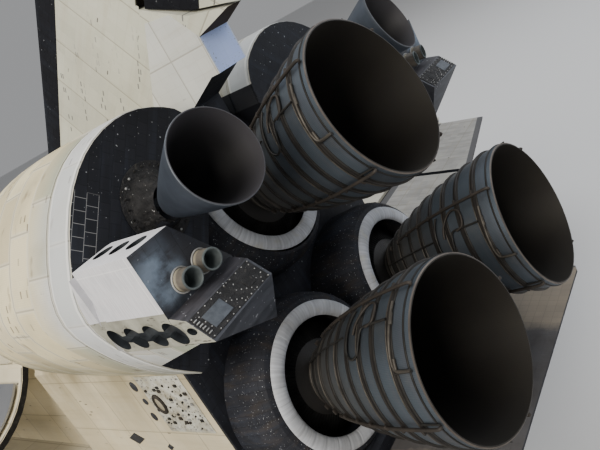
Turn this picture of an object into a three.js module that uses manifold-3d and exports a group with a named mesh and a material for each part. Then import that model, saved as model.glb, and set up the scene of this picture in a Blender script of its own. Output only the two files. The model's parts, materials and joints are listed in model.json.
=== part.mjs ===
// Winged spaceplane orbiter at full size, standing on its landing gear with its payload doors open.
// Millimetres. +X is port, +Y runs aft along the fuselage and +Z is up.
// The origin lies on the ground under the middle of the length.
import * as THREE from 'three';
import { mergeVertices } from 'three/addons/utils/BufferGeometryUtils.js';
import Module from 'manifold-3d';

const wasm = await Module();
wasm.setup();

// Driving dimensions of the whole vehicle
const NOSE_Y = -18618;
const BAY_FRONT_Y = -9804;
const AFT_FRONT_Y = 8611;
const BASE_Y = 12903;
const FLAP_HINGE_Y = 14326;
const TAIL_Y = 18618;
const BELLY_Z = 3505;
const DOOR_HINGE_Z = 7112;
const SPINE_Z = 9144;
const DECK_Z = 9220;
const FIN_TOP_Z = 17221;
const BODY_HALF = 2692;
const AFT_HALF = 2794;
const WING_HALF_SPAN = 11896;

// Gap between pieces that touch, and clearance between pieces that move
const SEAT = 0.3;
const CLEAR = 12;

// Payload bay doors
const DOOR_WIDEST_Z = 6858;
const DOOR_SQUARENESS = 2.3;
const DOOR_THICKNESS = 110;
const DOOR_OPEN_DEG = 152;
const DOOR_EDGE_GAP = 62;
const BAY_RADIUS = 2362;
const KNUCKLE_RADIUS = 45;
const KNUCKLE_LENGTH = 150;
const DOOR_HINGE_STATIONS = [-9500, -5150, -800, 3550, 7900];

// Elevons and body flap
const ELEVON_HINGE_Y = 10643;
const WING_DIHEDRAL = 0.0612;
const HINGE_PIN_RADIUS = 45;

// Main engines and orbital engines
const BELL_LENGTH = 3980;
const BELL_EXIT_RADIUS = 1176;
const BELL_WALL = 45;
const DOME_RING_OUTER = 1143;
const DOME_RING_INNER = 899;
const ENGINE_POCKET = 1110;
const GIMBAL_BALL = 260;
const ORBITAL_BELL_LENGTH = 1418;
const ORBITAL_EXIT_RADIUS = 583;
const ORBITAL_BASE_RADIUS = 240;
const ORBITAL_WALL = 18;
const ORBITAL_BALL = 150;

// Sides of the round pieces
const HULL_SIDES = 36;
const POD_SKIN_STEPS = 30;
const BELL_SIDES = 24;
const RING_SIDES = 32;
const WHEEL_SIDES = 24;
const DOOR_STEPS = 12;
const AXLE_SIDES = 32;

const FINISHES = {
  tile: ['#d9d5c5', 0.85, 0],
  black_tile: ['#1b1c1f', 0.7, 0],
  grey_carbon: ['#6f7276', 0.6, 0],
  bell_steel: ['#5f6a74', 0.45, 0.9],
  hot_steel: ['#4b5158', 0.5, 0.9],
  quilt: ['#c9c9c4', 0.9, 0],
  gear_paint: ['#dcdcd8', 0.5, 0.1],
  rubber: ['#1d1d1d', 0.9, 0],
  chute_tile: ['#cfd6dc', 0.8, 0],
};

const orbiter = new THREE.Group();

// Adds one named piece to a parent group
function addPiece(name, geometry, finish, parent = orbiter) {
  const [color, roughness, metalness] = FINISHES[finish];
  const mesh = new THREE.Mesh(geometry, new THREE.MeshStandardMaterial({ color, roughness, metalness }));
  mesh.name = name;
  parent.add(mesh);
  return mesh;
}

// Welds shared corners and drops faces that fold to a line
function welded(geometry) {
  const plain = geometry.index ? geometry.toNonIndexed() : geometry.clone();
  plain.deleteAttribute('normal');
  plain.deleteAttribute('uv');
  const merged = mergeVertices(plain, 0.01);
  const source = merged.index.array;
  const faces = [];
  for (let i = 0; i < source.length; i += 3) {
    const [a, b, c] = [source[i], source[i + 1], source[i + 2]];
    if (a !== b && b !== c && c !== a) faces.push(a, b, c);
  }
  merged.setIndex(faces);
  return merged;
}

function toManifold(geometry) {
  const merged = welded(geometry);
  const vertProperties = new Float32Array(merged.attributes.position.array);
  const triVerts = new Uint32Array(merged.index.array);
  return new wasm.Manifold(new wasm.Mesh({ numProp: 3, vertProperties, triVerts }));
}

function toGeometry(manifold) {
  const mesh = manifold.getMesh();
  const geometry = new THREE.BufferGeometry();
  geometry.setAttribute('position', new THREE.BufferAttribute(mesh.vertProperties, 3));
  geometry.setIndex(new THREE.BufferAttribute(mesh.triVerts, 1));
  return geometry;
}

function cut(geometry, ...tools) {
  return toGeometry(tools.reduce((rest, tool) => rest.subtract(toManifold(tool)), toManifold(geometry)));
}

function join(geometry, ...others) {
  return toGeometry(others.reduce((sum, other) => sum.add(toManifold(other)), toManifold(geometry)));
}

// Twice the signed area of a flat outline
function outlineArea(outline) {
  return outline.reduce((sum, p, i) => {
    const q = outline[(i + 1) % outline.length];
    return sum + p.x * q.y - q.x * p.y;
  }, 0);
}

// Triangles that close a flat ring of points, wound as the ring runs
function capFaces(ring) {
  const normal = new THREE.Vector3();
  ring.forEach((p, i) => normal.add(new THREE.Vector3().crossVectors(p, ring[(i + 1) % ring.length])));
  const size = [Math.abs(normal.x), Math.abs(normal.y), Math.abs(normal.z)];
  const drop = size.indexOf(Math.max(...size));
  const flat = ring.map((p) => {
    if (drop === 0) return new THREE.Vector2(p.y, p.z);
    if (drop === 1) return new THREE.Vector2(p.x, p.z);
    return new THREE.Vector2(p.x, p.y);
  });
  const along = Math.sign(outlineArea(flat));
  return THREE.ShapeUtils.triangulateShape(flat, []).map(([a, b, c]) => {
    return Math.sign(outlineArea([flat[a], flat[b], flat[c]])) === along ? [a, b, c] : [a, c, b];
  });
}

// Turns faces outwards when a mirrored side has wound them inwards
function faceOutwards(positions, faces) {
  let volume = 0;
  const corner = (i) => new THREE.Vector3(positions[3 * i], positions[3 * i + 1], positions[3 * i + 2]);
  for (let i = 0; i < faces.length; i += 3) {
    volume += corner(faces[i]).dot(corner(faces[i + 1]).cross(corner(faces[i + 2])));
  }
  if (volume >= 0) return faces;
  const turned = [];
  for (let i = 0; i < faces.length; i += 3) turned.push(faces[i], faces[i + 2], faces[i + 1]);
  return turned;
}

// A closed skin through rings that all have the same number of points
function loft(rings) {
  const count = rings[0].length;
  const positions = rings.flat().flatMap((p) => [p.x, p.y, p.z]);
  let faces = [];
  for (let r = 0; r + 1 < rings.length; r += 1) {
    for (let i = 0; i < count; i += 1) {
      const a = r * count + i;
      const b = r * count + ((i + 1) % count);
      faces.push(a, b, b + count, a, b + count, a + count);
    }
  }
  capFaces(rings[0]).forEach(([a, b, c]) => faces.push(a, c, b));
  const last = (rings.length - 1) * count;
  capFaces(rings[rings.length - 1]).forEach(([a, b, c]) => faces.push(last + a, last + b, last + c));
  faces = faceOutwards(positions, faces);
  const geometry = new THREE.BufferGeometry();
  geometry.setAttribute('position', new THREE.Float32BufferAttribute(positions, 3));
  geometry.setIndex(faces);
  return geometry;
}

const point = (x, y, z) => new THREE.Vector3(x, y, z);

// A block between two corners
function block(x0, x1, y0, y1, z0, z1) {
  const geometry = new THREE.BoxGeometry(Math.abs(x1 - x0), Math.abs(y1 - y0), Math.abs(z1 - z0));
  geometry.translate((x0 + x1) / 2, (y0 + y1) / 2, (z0 + z1) / 2);
  return geometry;
}

// A side outline of [y, z] points, made solid from x0 to x1
function sidePlate(outline, x0, x1) {
  return loft([x0, x1].map((x) => outline.map(([y, z]) => point(x, y, z))));
}

// A round rod between two points
function rod(from, to, radius, sides = 16, endRadius = radius) {
  const length = from.distanceTo(to);
  const geometry = new THREE.CylinderGeometry(endRadius, radius, length, sides);
  const direction = to.clone().sub(from).normalize();
  geometry.applyQuaternion(new THREE.Quaternion().setFromUnitVectors(point(0, 1, 0), direction));
  const middle = from.clone().add(to).multiplyScalar(0.5);
  geometry.translate(middle.x, middle.y, middle.z);
  return geometry;
}

// Fuselage ring with rounded shoulders: a squared-off oval with its own upper and lower fullness
function hullRing({ y, half, widestZ, topZ, lowZ, upper, lower }) {
  return Array.from({ length: HULL_SIDES }, (_, i) => {
    const angle = (2 * Math.PI * (i + 0.5)) / HULL_SIDES;
    const c = Math.cos(angle);
    const s = Math.sin(angle);
    const power = s > 0 ? 2 / upper : 2 / lower;
    const height = s > 0 ? topZ - widestZ : widestZ - lowZ;
    const x = half * Math.sign(c) * Math.abs(c) ** power;
    return point(x, y, widestZ + height * Math.sign(s) * Math.abs(s) ** power);
  });
}

// Forward fuselage sections: y, half width, height of the widest line, top, bottom, fullness above and below
const FORWARD_SECTIONS = [
  [-18440, 420, 5080, 5490, 4640, 2.0, 2.0],
  [-18237, 720, 5050, 5820, 4330, 2.0, 2.1],
  [-17729, 1180, 4950, 6330, 3970, 2.1, 2.3],
  [-16967, 1570, 4850, 6800, 3770, 2.1, 2.6],
  [-15697, 1960, 4800, 7230, 3620, 2.1, 3.0],
  [-14427, 2230, 4780, 7560, 3550, 2.2, 3.4],
  [-13919, 2310, 4780, 7760, 3530, 2.3, 3.6],
  [-12700, 2480, 4780, 8870, 3515, 2.6, 4.0],
  [-11887, 2580, 4780, 9100, 3505, 3.0, 4.4],
  [-9930, 2680, 4780, 9144, 3505, 3.6, 5.0],
].map(([y, half, widestZ, topZ, lowZ, upper, lower]) => ({ y, half, widestZ, topZ, lowZ, upper, lower }));

function buildForwardFuselage() {
  const noseRings = [
    { y: NOSE_Y, half: 60, widestZ: 5080, topZ: 5140, lowZ: 5020, upper: 2, lower: 2 },
    { y: NOSE_Y + 40, half: 220, widestZ: 5080, topZ: 5300, lowZ: 4860, upper: 2, lower: 2 },
    FORWARD_SECTIONS[0],
    { ...FORWARD_SECTIONS[1], y: FORWARD_SECTIONS[1].y - SEAT },
  ];
  addPiece('nose_cap', loft(noseRings.map((section) => hullRing(section))), 'grey_carbon');

  const well = block(-430, 430, -17100, -14500, 3300, 4500);
  const hull = loft(FORWARD_SECTIONS.slice(1).map((section) => hullRing(section)));
  addPiece('forward_fuselage', cut(hull, well), 'tile');
}

// Bay trough: outer sides, open top between the door hinges and a round floor
function buildMidFuselage() {
  const trough = (y) => {
    const outer = [
      [BODY_HALF, DOOR_HINGE_Z - 60], [BODY_HALF, 3700], [BODY_HALF - 60, 3560], [BODY_HALF - 220, BELLY_Z],
    ];
    const inner = [];
    for (let i = 0; i <= 10; i += 1) {
      const angle = Math.PI + (Math.PI * i) / 10;
      inner.push([BAY_RADIUS * Math.cos(angle), 6604 + BAY_RADIUS * Math.sin(angle)]);
    }
    const starboard = outer.map(([x, z]) => [-x, z]).reverse();
    const upperLip = [[BAY_RADIUS, DOOR_HINGE_Z - 60]];
    const ring = [...outer, ...starboard, [-BAY_RADIUS, DOOR_HINGE_Z - 60], ...inner, ...upperLip];
    return ring.map(([x, z]) => point(x, y, z));
  };
  const middle = loft([trough(BAY_FRONT_Y - 126 + SEAT), trough(AFT_FRONT_Y - SEAT)]);
  const frontWall = loft([-126 + SEAT, 0].map((step) => hullRing({
    y: BAY_FRONT_Y + step, half: BODY_HALF - 12, widestZ: 4780, topZ: SPINE_Z, lowZ: BELLY_Z, upper: 3.6, lower: 5,
  })));
  const knuckles = [1, -1].flatMap((side) => DOOR_HINGE_STATIONS.flatMap((y) => {
    const [from, to] = [y, y + KNUCKLE_LENGTH];
    const barrel = rod(point(side * BODY_HALF, from, DOOR_HINGE_Z), point(side * BODY_HALF, to, DOOR_HINGE_Z), KNUCKLE_RADIUS);
    const foot = block(side * (BODY_HALF - 44), side * (BODY_HALF - 1), from, to, DOOR_HINGE_Z - 90, DOOR_HINGE_Z);
    return [barrel, foot];
  }));
  addPiece('mid_fuselage', join(middle, frontWall, ...knuckles), 'tile');
}

// Cross section of a closed payload door, from the hinge to the centreline, as [x, z] set in by a depth
function doorProfile(depth, steps) {
  const rise = SPINE_Z - DOOR_WIDEST_Z;
  const power = 2 / DOOR_SQUARENESS;
  const hingeSine = (DOOR_HINGE_Z + DOOR_EDGE_GAP - DOOR_WIDEST_Z) / rise;
  const low = Math.asin(hingeSine ** (1 / power));
  const high = Math.PI / 2 - 0.0005;
  return Array.from({ length: steps + 1 }, (_, i) => {
    const angle = low + ((high - low) * i) / steps;
    const [c, s] = [Math.cos(angle), Math.sin(angle)];
    const outward = new THREE.Vector2(c ** (2 - power) / BODY_HALF, s ** (2 - power) / rise).normalize();
    const x = BODY_HALF * c ** power - depth * outward.x;
    return [Math.max(x, 4), DOOR_WIDEST_Z + rise * s ** power - depth * outward.y];
  });
}

// Each door hangs open, turned outboard about its hinge on the bay's side
function buildPayloadDoors() {
  const open = THREE.MathUtils.degToRad(DOOR_OPEN_DEG);
  for (const [name, side] of [['payload_door_left', 1], ['payload_door_right', -1]]) {
    const opened = ([x, z], y) => {
      const dx = x - BODY_HALF;
      const dz = z - DOOR_HINGE_Z;
      const turnedX = dx * Math.cos(open) + dz * Math.sin(open);
      const turnedZ = -dx * Math.sin(open) + dz * Math.cos(open);
      return point(side * (BODY_HALF + turnedX), y, DOOR_HINGE_Z + turnedZ);
    };
    const outline = [...doorProfile(0, DOOR_STEPS), ...doorProfile(DOOR_THICKNESS, DOOR_STEPS).reverse()];
    const panel = loft([BAY_FRONT_Y + CLEAR, AFT_FRONT_Y - 2 * CLEAR].map((y) => outline.map((corner) => opened(corner, y))));
    const armOutline = [
      [BODY_HALF, DOOR_HINGE_Z], [BODY_HALF - 20, DOOR_HINGE_Z + 110], [BODY_HALF - 80, DOOR_HINGE_Z + 110],
      [BODY_HALF - 30, DOOR_HINGE_Z - 10],
    ];
    const knuckles = DOOR_HINGE_STATIONS.flatMap((y) => {
      const [from, to] = [y + KNUCKLE_LENGTH + SEAT, y + 2 * KNUCKLE_LENGTH];
      const barrel = rod(point(side * BODY_HALF, from, DOOR_HINGE_Z), point(side * BODY_HALF, to, DOOR_HINGE_Z), KNUCKLE_RADIUS);
      return [barrel, loft([from, to].map((end) => armOutline.map((corner) => opened(corner, end))))];
    });
    addPiece(name, join(panel, ...knuckles), 'tile');
  }
}

// Engine mounts: gimbal point, tilt up and out, and how far along the axis the dome's white ring lies
const MAIN_ENGINES = [
  { name: '1', x: 0, y: 12116, z: 7696, pitch: 16.5, yaw: 0, ring: 1257, ringPitch: 20.2 },
  { name: '2', x: 1346, y: 12704, z: 5147, pitch: 10.6, yaw: 3.27, ring: 1396, ringPitch: 10.6 },
  { name: '3', x: -1346, y: 12704, z: 5147, pitch: 10.6, yaw: 3.27, ring: 1396, ringPitch: 10.6 },
];

const ORBITAL_ENGINES = [
  { name: 'left', x: 2235, y: 13970, z: 8941, pitch: 17.15, yaw: 7.95 },
  { name: 'right', x: -2235, y: 13970, z: 8941, pitch: 17.15, yaw: 7.95 },
];

// Frame whose +Y runs from an engine's gimbal to its exit
function engineFrame({ x, y, z, pitch, yaw }) {
  const turn = new THREE.Euler(
    THREE.MathUtils.degToRad(pitch), 0, -Math.sign(x) * THREE.MathUtils.degToRad(yaw), 'ZXY',
  );
  return new THREE.Matrix4().makeRotationFromEuler(turn).setPosition(x, y, z);
}

// Aft fuselage outline at one station: flat sides, sloped pod decks and a narrow top for the fin
function aftRing(y, lowZ) {
  const half = [
    [0, DECK_Z], [690, DECK_Z], [AFT_HALF, 6807], [AFT_HALF, 4300], [AFT_HALF - 90, lowZ + 120],
    [AFT_HALF - 380, lowZ], [0, lowZ],
  ];
  const mirrored = half.slice(1, -1).map(([x, z]) => [-x, z]).reverse();
  return [...half, ...mirrored].map(([x, z]) => point(x, y, z));
}

function aftFuselageBlock() {
  const front = loft([aftRing(AFT_FRONT_Y, BELLY_Z), aftRing(BASE_Y, BELLY_Z + 60)]);
  const shelf = sidePlate([
    [BASE_Y - 200, 5156], [BASE_Y, 5156], [14110, 4040], [14200, 3980], [14200, 3640], [BASE_Y - 200, BELLY_Z + 62],
  ], -AFT_HALF + 2, AFT_HALF - 2);
  return join(front, shelf);
}

const MOVE_AFT = new THREE.Matrix4().makeTranslation(0, 0.5, 0.2);

function buildAftFuselage() {
  const pockets = MAIN_ENGINES.map((engine) => {
    const pocket = rod(point(0, -GIMBAL_BALL, 0), point(0, 2600, 0), ENGINE_POCKET, 32);
    return pocket.applyMatrix4(engineFrame(engine));
  });
  const body = aftFuselageBlock();
  const flapTab = block(-120, 120, 14150, FLAP_HINGE_Y + 60, 3690, 3780);
  addPiece('aft_fuselage', join(cut(body, ...pockets), flapTab), 'tile');

  for (const engine of MAIN_ENGINES) {
    const frame = engineFrame({ ...engine, pitch: engine.ringPitch });
    const frontS = -400;
    const dome = new THREE.LatheGeometry([
      [ENGINE_POCKET + 20, frontS], [1345, frontS], [1345, engine.ring - 420], [1300, engine.ring - 210],
      [1220, engine.ring - 100], [DOME_RING_OUTER - 20, engine.ring - 60], [ENGINE_POCKET, engine.ring - 61],
      [ENGINE_POCKET + 20, frontS],
    ].map(([r, s]) => new THREE.Vector2(r, s)), RING_SIDES).applyMatrix4(frame);
    const grownBody = join(body, body.clone().applyMatrix4(MOVE_AFT));
    const cover = block(-6000, 6000, 8000, BASE_Y + 0.4, 2000, 12000);
    const roomForAxis = rod(point(0, -600, 0), point(0, 2600, 0), ENGINE_POCKET - 10, 32).applyMatrix4(engineFrame(engine));
    addPiece(`engine_dome_${engine.name}`, cut(dome, grownBody, cover, roomForAxis), 'black_tile');
    const ring = new THREE.LatheGeometry([
      [DOME_RING_INNER, engine.ring - 59.6], [DOME_RING_OUTER, engine.ring - 59.6],
      [DOME_RING_OUTER, engine.ring - 20], [DOME_RING_OUTER - 30, engine.ring], [DOME_RING_INNER + 30, engine.ring],
      [DOME_RING_INNER, engine.ring - 20], [DOME_RING_INNER, engine.ring - 59.6],
    ].map(([r, s]) => new THREE.Vector2(r, s)), RING_SIDES).applyMatrix4(frame);
    addPiece(`dome_ring_${engine.name}`, cut(ring, cover), 'quilt');
  }
}

// Points of a bell's inside, a quadratic curve from the throat to the exit, as [radius, s]
function bellCurve(throatR, throatS, exitR, exitS, throatDeg, exitDeg, steps) {
  const slopeIn = Math.tan(THREE.MathUtils.degToRad(throatDeg));
  const slopeOut = Math.tan(THREE.MathUtils.degToRad(exitDeg));
  const kneeS = (exitR - slopeOut * exitS - throatR + slopeIn * throatS) / (slopeIn - slopeOut);
  const kneeR = throatR + slopeIn * (kneeS - throatS);
  const curve = new THREE.QuadraticBezierCurve(
    new THREE.Vector2(throatR, throatS), new THREE.Vector2(kneeR, kneeS), new THREE.Vector2(exitR, exitS),
  );
  return curve.getPoints(steps);
}

function buildMainEngines() {
  const inside = bellCurve(130, 960, BELL_EXIT_RADIUS - 40, BELL_LENGTH, 37, 5.4, 6);
  const outside = inside.slice(1).map((p) => new THREE.Vector2(p.x + BELL_WALL, p.y));
  outside[outside.length - 1].x = BELL_EXIT_RADIUS;
  const shield = 1300;
  const onShield = (radius, degrees) => {
    const angle = THREE.MathUtils.degToRad(degrees);
    return new THREE.Vector2(radius * Math.sin(angle), radius * Math.cos(angle));
  };
  const profile = [
    new THREE.Vector2(0, GIMBAL_BALL), new THREE.Vector2(480, GIMBAL_BALL), new THREE.Vector2(480, 900),
    onShield(shield - 30, 24), onShield(shield - 30, 43), onShield(shield, 43), onShield(shield, 33), onShield(shield, 24),
    ...outside, ...inside.slice().reverse(), new THREE.Vector2(0, 960),
  ];
  for (const engine of MAIN_ENGINES) {
    const mount = new THREE.Group();
    mount.applyMatrix4(engineFrame(engine));
    orbiter.add(mount);
    const ball = new THREE.SphereGeometry(GIMBAL_BALL - SEAT, 10, 6);
    addPiece(`main_gimbal_${engine.name}`, ball, 'hot_steel', mount);
    addPiece(`main_engine_${engine.name}`, new THREE.LatheGeometry(profile, BELL_SIDES), 'bell_steel', mount);
  }
}

// Pod deck line from the fuselage side up to the fin root, as [x, z]
const DECK_FOOT = [AFT_HALF, 6807];
const DECK_HEAD = [690, DECK_Z];
const POD_MIDDLE = 1600;
const POD_SINK = 150;
const POD_REAR_Y = 13513;

// Pod sections: y and how far the skin has grown out from the deck line
const POD_SECTIONS = [
  [8720, 0.22], [8790, 0.33], [8880, 0.42], [9050, 0.55], [9250, 0.66], [9550, 0.76], [9900, 0.84], [10350, 0.9],
  [10800, 0.945], [11400, 0.98], [12000, 1.0], [POD_REAR_Y, 1.0],
];

// Points that the full pod outline curves through, from the foot round to the head, as [x, z]
const POD_OUTLINE = new THREE.SplineCurve([
  [2921, 6815], [3297, 7229], [3630, 7772], [3815, 8380], [3609, 8960], [3030, 9670], [2380, 10050], [1656, 10125],
  [1000, 9880], [760, 9560],
].map(([x, z]) => new THREE.Vector2(x, z))).getPoints(POD_SKIN_STEPS);

function podRing(y, growth, side) {
  const deck = new THREE.Vector2(DECK_HEAD[0] - DECK_FOOT[0], DECK_HEAD[1] - DECK_FOOT[1]).normalize();
  const out = new THREE.Vector2(deck.y, -deck.x);
  const place = (along, rise) => {
    const reach = POD_MIDDLE + (along - POD_MIDDLE) * (0.72 + 0.28 * growth);
    const x = DECK_FOOT[0] + deck.x * reach + out.x * rise;
    return point(side * x, y, DECK_FOOT[1] + deck.y * reach + out.y * rise);
  };
  const skin = POD_OUTLINE.map((corner) => {
    const offset = new THREE.Vector2(corner.x - DECK_FOOT[0], corner.y - DECK_FOOT[1]);
    return place(offset.dot(deck), offset.dot(out) * growth);
  });
  return [place(160, -POD_SINK), ...skin, place(POD_MIDDLE * 2 - 160, -POD_SINK)];
}

// Thruster housing: a box that grows out of the pod's rim, as rings of [x, z] corners at one y, and a lower shelf
// that runs further aft under the tubes, as outlines of [y, z] corners at one x
const HOUSING_BOX = [
  [POD_REAR_Y, [[3610, 8940], [3800, 8275], [3640, 7800], [2750, 7500], [2600, 8275], [3060, 8940]]],
  [13868, [[3810, 9017], [3810, 8275], [3810, 7912], [2680, 7330], [2600, 8275], [3190, 9010]]],
  [14922, [[3810, 9040], [3810, 8275], [3810, 7930], [2680, 7380], [2654, 8275], [3200, 9025]]],
];
const HOUSING_SHELF = [
  [3807, [[14500, 8270], [14950, 8270], [15164, 8222], [15405, 7943], [15150, 7940], [14500, 7940]]],
  [2690, [[14500, 8270], [14950, 8270], [15164, 8214], [15385, 7970], [15088, 7395], [14500, 7385]]],
];
const THRUSTER_TUBES = { columns: [3480, 3150], z: 8460, rootY: 14500, mouthY: 15190, radius: 125, bore: 104, boreY: 14900 };

function buildPods() {
  const body = loft([aftRing(AFT_FRONT_Y - 200, BELLY_Z), aftRing(POD_REAR_Y + 200, BELLY_Z)]);
  const lift = new THREE.Matrix4().makeTranslation(0, 0, SEAT + 0.1);
  for (const engine of ORBITAL_ENGINES) {
    const side = Math.sign(engine.x);
    const push = new THREE.Matrix4().makeTranslation(side * 0.4, 0, 0);
    const pod = loft(POD_SECTIONS.map(([y, growth]) => podRing(y, growth, side)));
    const boss = rod(point(0, -700, 0), point(0, -ORBITAL_BALL, 0), 230, 24, 200).applyMatrix4(engineFrame(engine));
    const cutPod = cut(join(pod, boss), body, body.clone().applyMatrix4(lift), body.clone().applyMatrix4(push));
    addPiece(`pod_${engine.name}`, cutPod, 'tile');

    const across = (rings) => loft(rings.map(([y, ring]) => ring.map(([x, z]) => point(side * x, y + SEAT, z))));
    const box = across(HOUSING_BOX);
    const shelf = loft(HOUSING_SHELF.map(([x, outline]) => outline.map(([y, z]) => point(side * x, y, z))));
    const { columns, z, rootY, mouthY, radius, bore, boreY } = THRUSTER_TUBES;
    const tubes = columns.map((x) => rod(point(side * x, rootY, z), point(side * x, mouthY, z), radius, 20));
    const bores = columns.map((x) => rod(point(side * x, boreY, z), point(side * x, mouthY + 100, z), bore, 20));
    addPiece(`thruster_housing_${engine.name}`, cut(join(box, shelf, ...tubes), ...bores), 'black_tile');
  }
}

function buildOrbitalEngines() {
  const inside = bellCurve(75, 420, ORBITAL_EXIT_RADIUS - ORBITAL_WALL, ORBITAL_BELL_LENGTH, 34, 9, 6);
  const outside = bellCurve(ORBITAL_BASE_RADIUS, ORBITAL_BALL, ORBITAL_EXIT_RADIUS, ORBITAL_BELL_LENGTH, 19, 13, 5);
  const profile = [new THREE.Vector2(0, ORBITAL_BALL), ...outside, ...inside.slice().reverse(), new THREE.Vector2(0, 420)];
  for (const engine of ORBITAL_ENGINES) {
    const mount = new THREE.Group();
    mount.applyMatrix4(engineFrame(engine));
    orbiter.add(mount);
    const ball = new THREE.SphereGeometry(ORBITAL_BALL - SEAT, 10, 6);
    addPiece(`orbital_gimbal_${engine.name}`, ball, 'hot_steel', mount);
    addPiece(`orbital_engine_${engine.name}`, new THREE.LatheGeometry(profile, BELL_SIDES), 'hot_steel', mount);
  }
}

// Hinge line height under the wing's dihedral
const hingeZ = (x) => 3962 + WING_DIHEDRAL * (x - 3099);

// Half thickness of the elevon at its hinge
const elevonRadius = (x) => 330 - (330 - 130) * ((x - 3099) / (11430 - 3099));

// Trailing edge of the elevons
const trailingY = (x) => 13589 - (13589 - 12167) * ((x - 3099) / (11430 - 3099));

// Wing stations: x, leading edge y, thickness
const WING_STATIONS = [
  [BODY_HALF + SEAT, -11500, 1500],
  [3600, -6150, 1480],
  [4775, 1372, 1330],
  [7900, 4497, 1000],
  [10900, 7497, 520],
  [11600, 8480, 420],
  [WING_HALF_SPAN, 9700, 200],
];

// Share of the chord and share of the thickness on each skin of the wing
const WING_SKIN = [[0.015, 0.20], [0.06, 0.44], [0.18, 0.78], [0.38, 0.98], [0.62, 1.0]];

// One wing section, from the hinge's cove round the leading edge and back
function wingRing(x, leadY, thickness, side) {
  const radius = elevonRadius(Math.min(x, 11430)) + CLEAR;
  const axisZ = hingeZ(x);
  const chord = ELEVON_HINGE_Y - leadY;
  const lowZ = axisZ - elevonRadius(Math.min(x, 11430)) - CLEAR;
  const rootShare = THREE.MathUtils.clamp((x - BODY_HALF) / 2000, 0, 1);
  const low = Math.min(lowZ, BELLY_Z + 30 + rootShare * 90 + WING_DIHEDRAL * (x - BODY_HALF) * 0.9);
  const leadZ = low + thickness * 0.30;
  const cove = [125, 145, 170, 195, 220, 250].map((degrees) => {
    const angle = THREE.MathUtils.degToRad(degrees);
    return [ELEVON_HINGE_Y + radius * Math.cos(angle), axisZ + radius * Math.sin(angle)];
  });
  const upper = WING_SKIN.map(([share, height]) => {
    return [leadY + share * chord, leadZ + (low + thickness - leadZ) * height];
  }).reverse();
  const lower = WING_SKIN.map(([share, height]) => {
    return [leadY + share * chord, leadZ + (low - leadZ) * Math.min(1, height * 1.15)];
  });
  const rearRise = Math.min(0.11 * (ELEVON_HINGE_Y - leadY), 160);
  const last = [[ELEVON_HINGE_Y - 0.3 * Math.min(chord, 5000), Math.max(axisZ + radius + rearRise, low + thickness * 0.92)]];
  const foot = [[ELEVON_HINGE_Y - 0.25 * Math.min(chord, 3600), low]];
  const lip = [ELEVON_HINGE_Y - radius * 0.6, axisZ + radius + 30];
  const heel = [ELEVON_HINGE_Y - radius * 0.36, axisZ - radius - 4];
  const outline = [lip, ...last, ...upper, [leadY, leadZ], ...lower, ...foot, heel, ...cove.reverse()];
  return outline.map(([y, z]) => point(side * x, y, z));
}

// Elevon spans: name, inboard x and outboard x
const ELEVONS = [['inboard', 3099, 7925], ['outboard', 8089, 11430]];

// Frame on the elevon hinge line, with local +X along the hinge
function hingeFrame(x, side) {
  const direction = point(side, 0, WING_DIHEDRAL).normalize();
  const turn = new THREE.Quaternion().setFromUnitVectors(point(side, 0, 0), direction);
  return new THREE.Matrix4().compose(point(side * x, ELEVON_HINGE_Y, hingeZ(x)), turn, point(1, 1, 1));
}

function elevonRing(x, side) {
  const radius = elevonRadius(x);
  const axisZ = hingeZ(x);
  const nose = [];
  for (let i = 0; i <= 8; i += 1) {
    const angle = Math.PI / 2 + (Math.PI * i) / 8;
    nose.push([ELEVON_HINGE_Y + radius * Math.cos(angle), axisZ + radius * Math.sin(angle)]);
  }
  const tail = [[trailingY(x), axisZ - 120], [trailingY(x), axisZ - 80]];
  return [...nose, ...tail].map(([y, z]) => point(side * x, y, z));
}

function buildWings() {
  for (const [label, side] of [['left', 1], ['right', -1]]) {
    const well = block(side * 2850, side * 4120, 1700, 5650, 3000, 4300);
    const ring = ([x, leadY, thickness]) => wingRing(x, leadY, thickness, side);
    const besideAft = block(0, side * (AFT_HALF + SEAT), AFT_FRONT_Y - SEAT, 20000, 3000, 8000);
    let wing = cut(loft(WING_STATIONS.map(ring)), well, besideAft);
    const tabs = [[2950, 120], [8007, 60], [11560, 60]].map(([x, half]) => {
      const radius = elevonRadius(Math.min(x, 11430));
      return block(-half, half, -radius - 80, radius * 0.5, -radius * 0.55, radius * 0.55).applyMatrix4(hingeFrame(x, side));
    });
    wing = join(wing, ...tabs);
    addPiece(`wing_${label}`, wing, 'tile');

    for (const [place, innerX, outerX] of ELEVONS) {
      const panel = loft([elevonRing(innerX, side), elevonRing(outerX, side)]);
      const innerTab = place === 'inboard' ? [2950, 120] : [8007, 60];
      const outerTab = place === 'inboard' ? [8007, 60] : [11560, 60];
      const pin = ([x, half], towards) => {
        const start = towards * (half + SEAT);
        return rod(point(side * start, 0, 0), point(side * (start + towards * 220), 0, 0), HINGE_PIN_RADIUS)
          .applyMatrix4(hingeFrame(x, side));
      };
      addPiece(`elevon_${place}_${label}`, join(panel, pin(innerTab, 1), pin(outerTab, -1)), 'tile');
    }
  }
}

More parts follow.
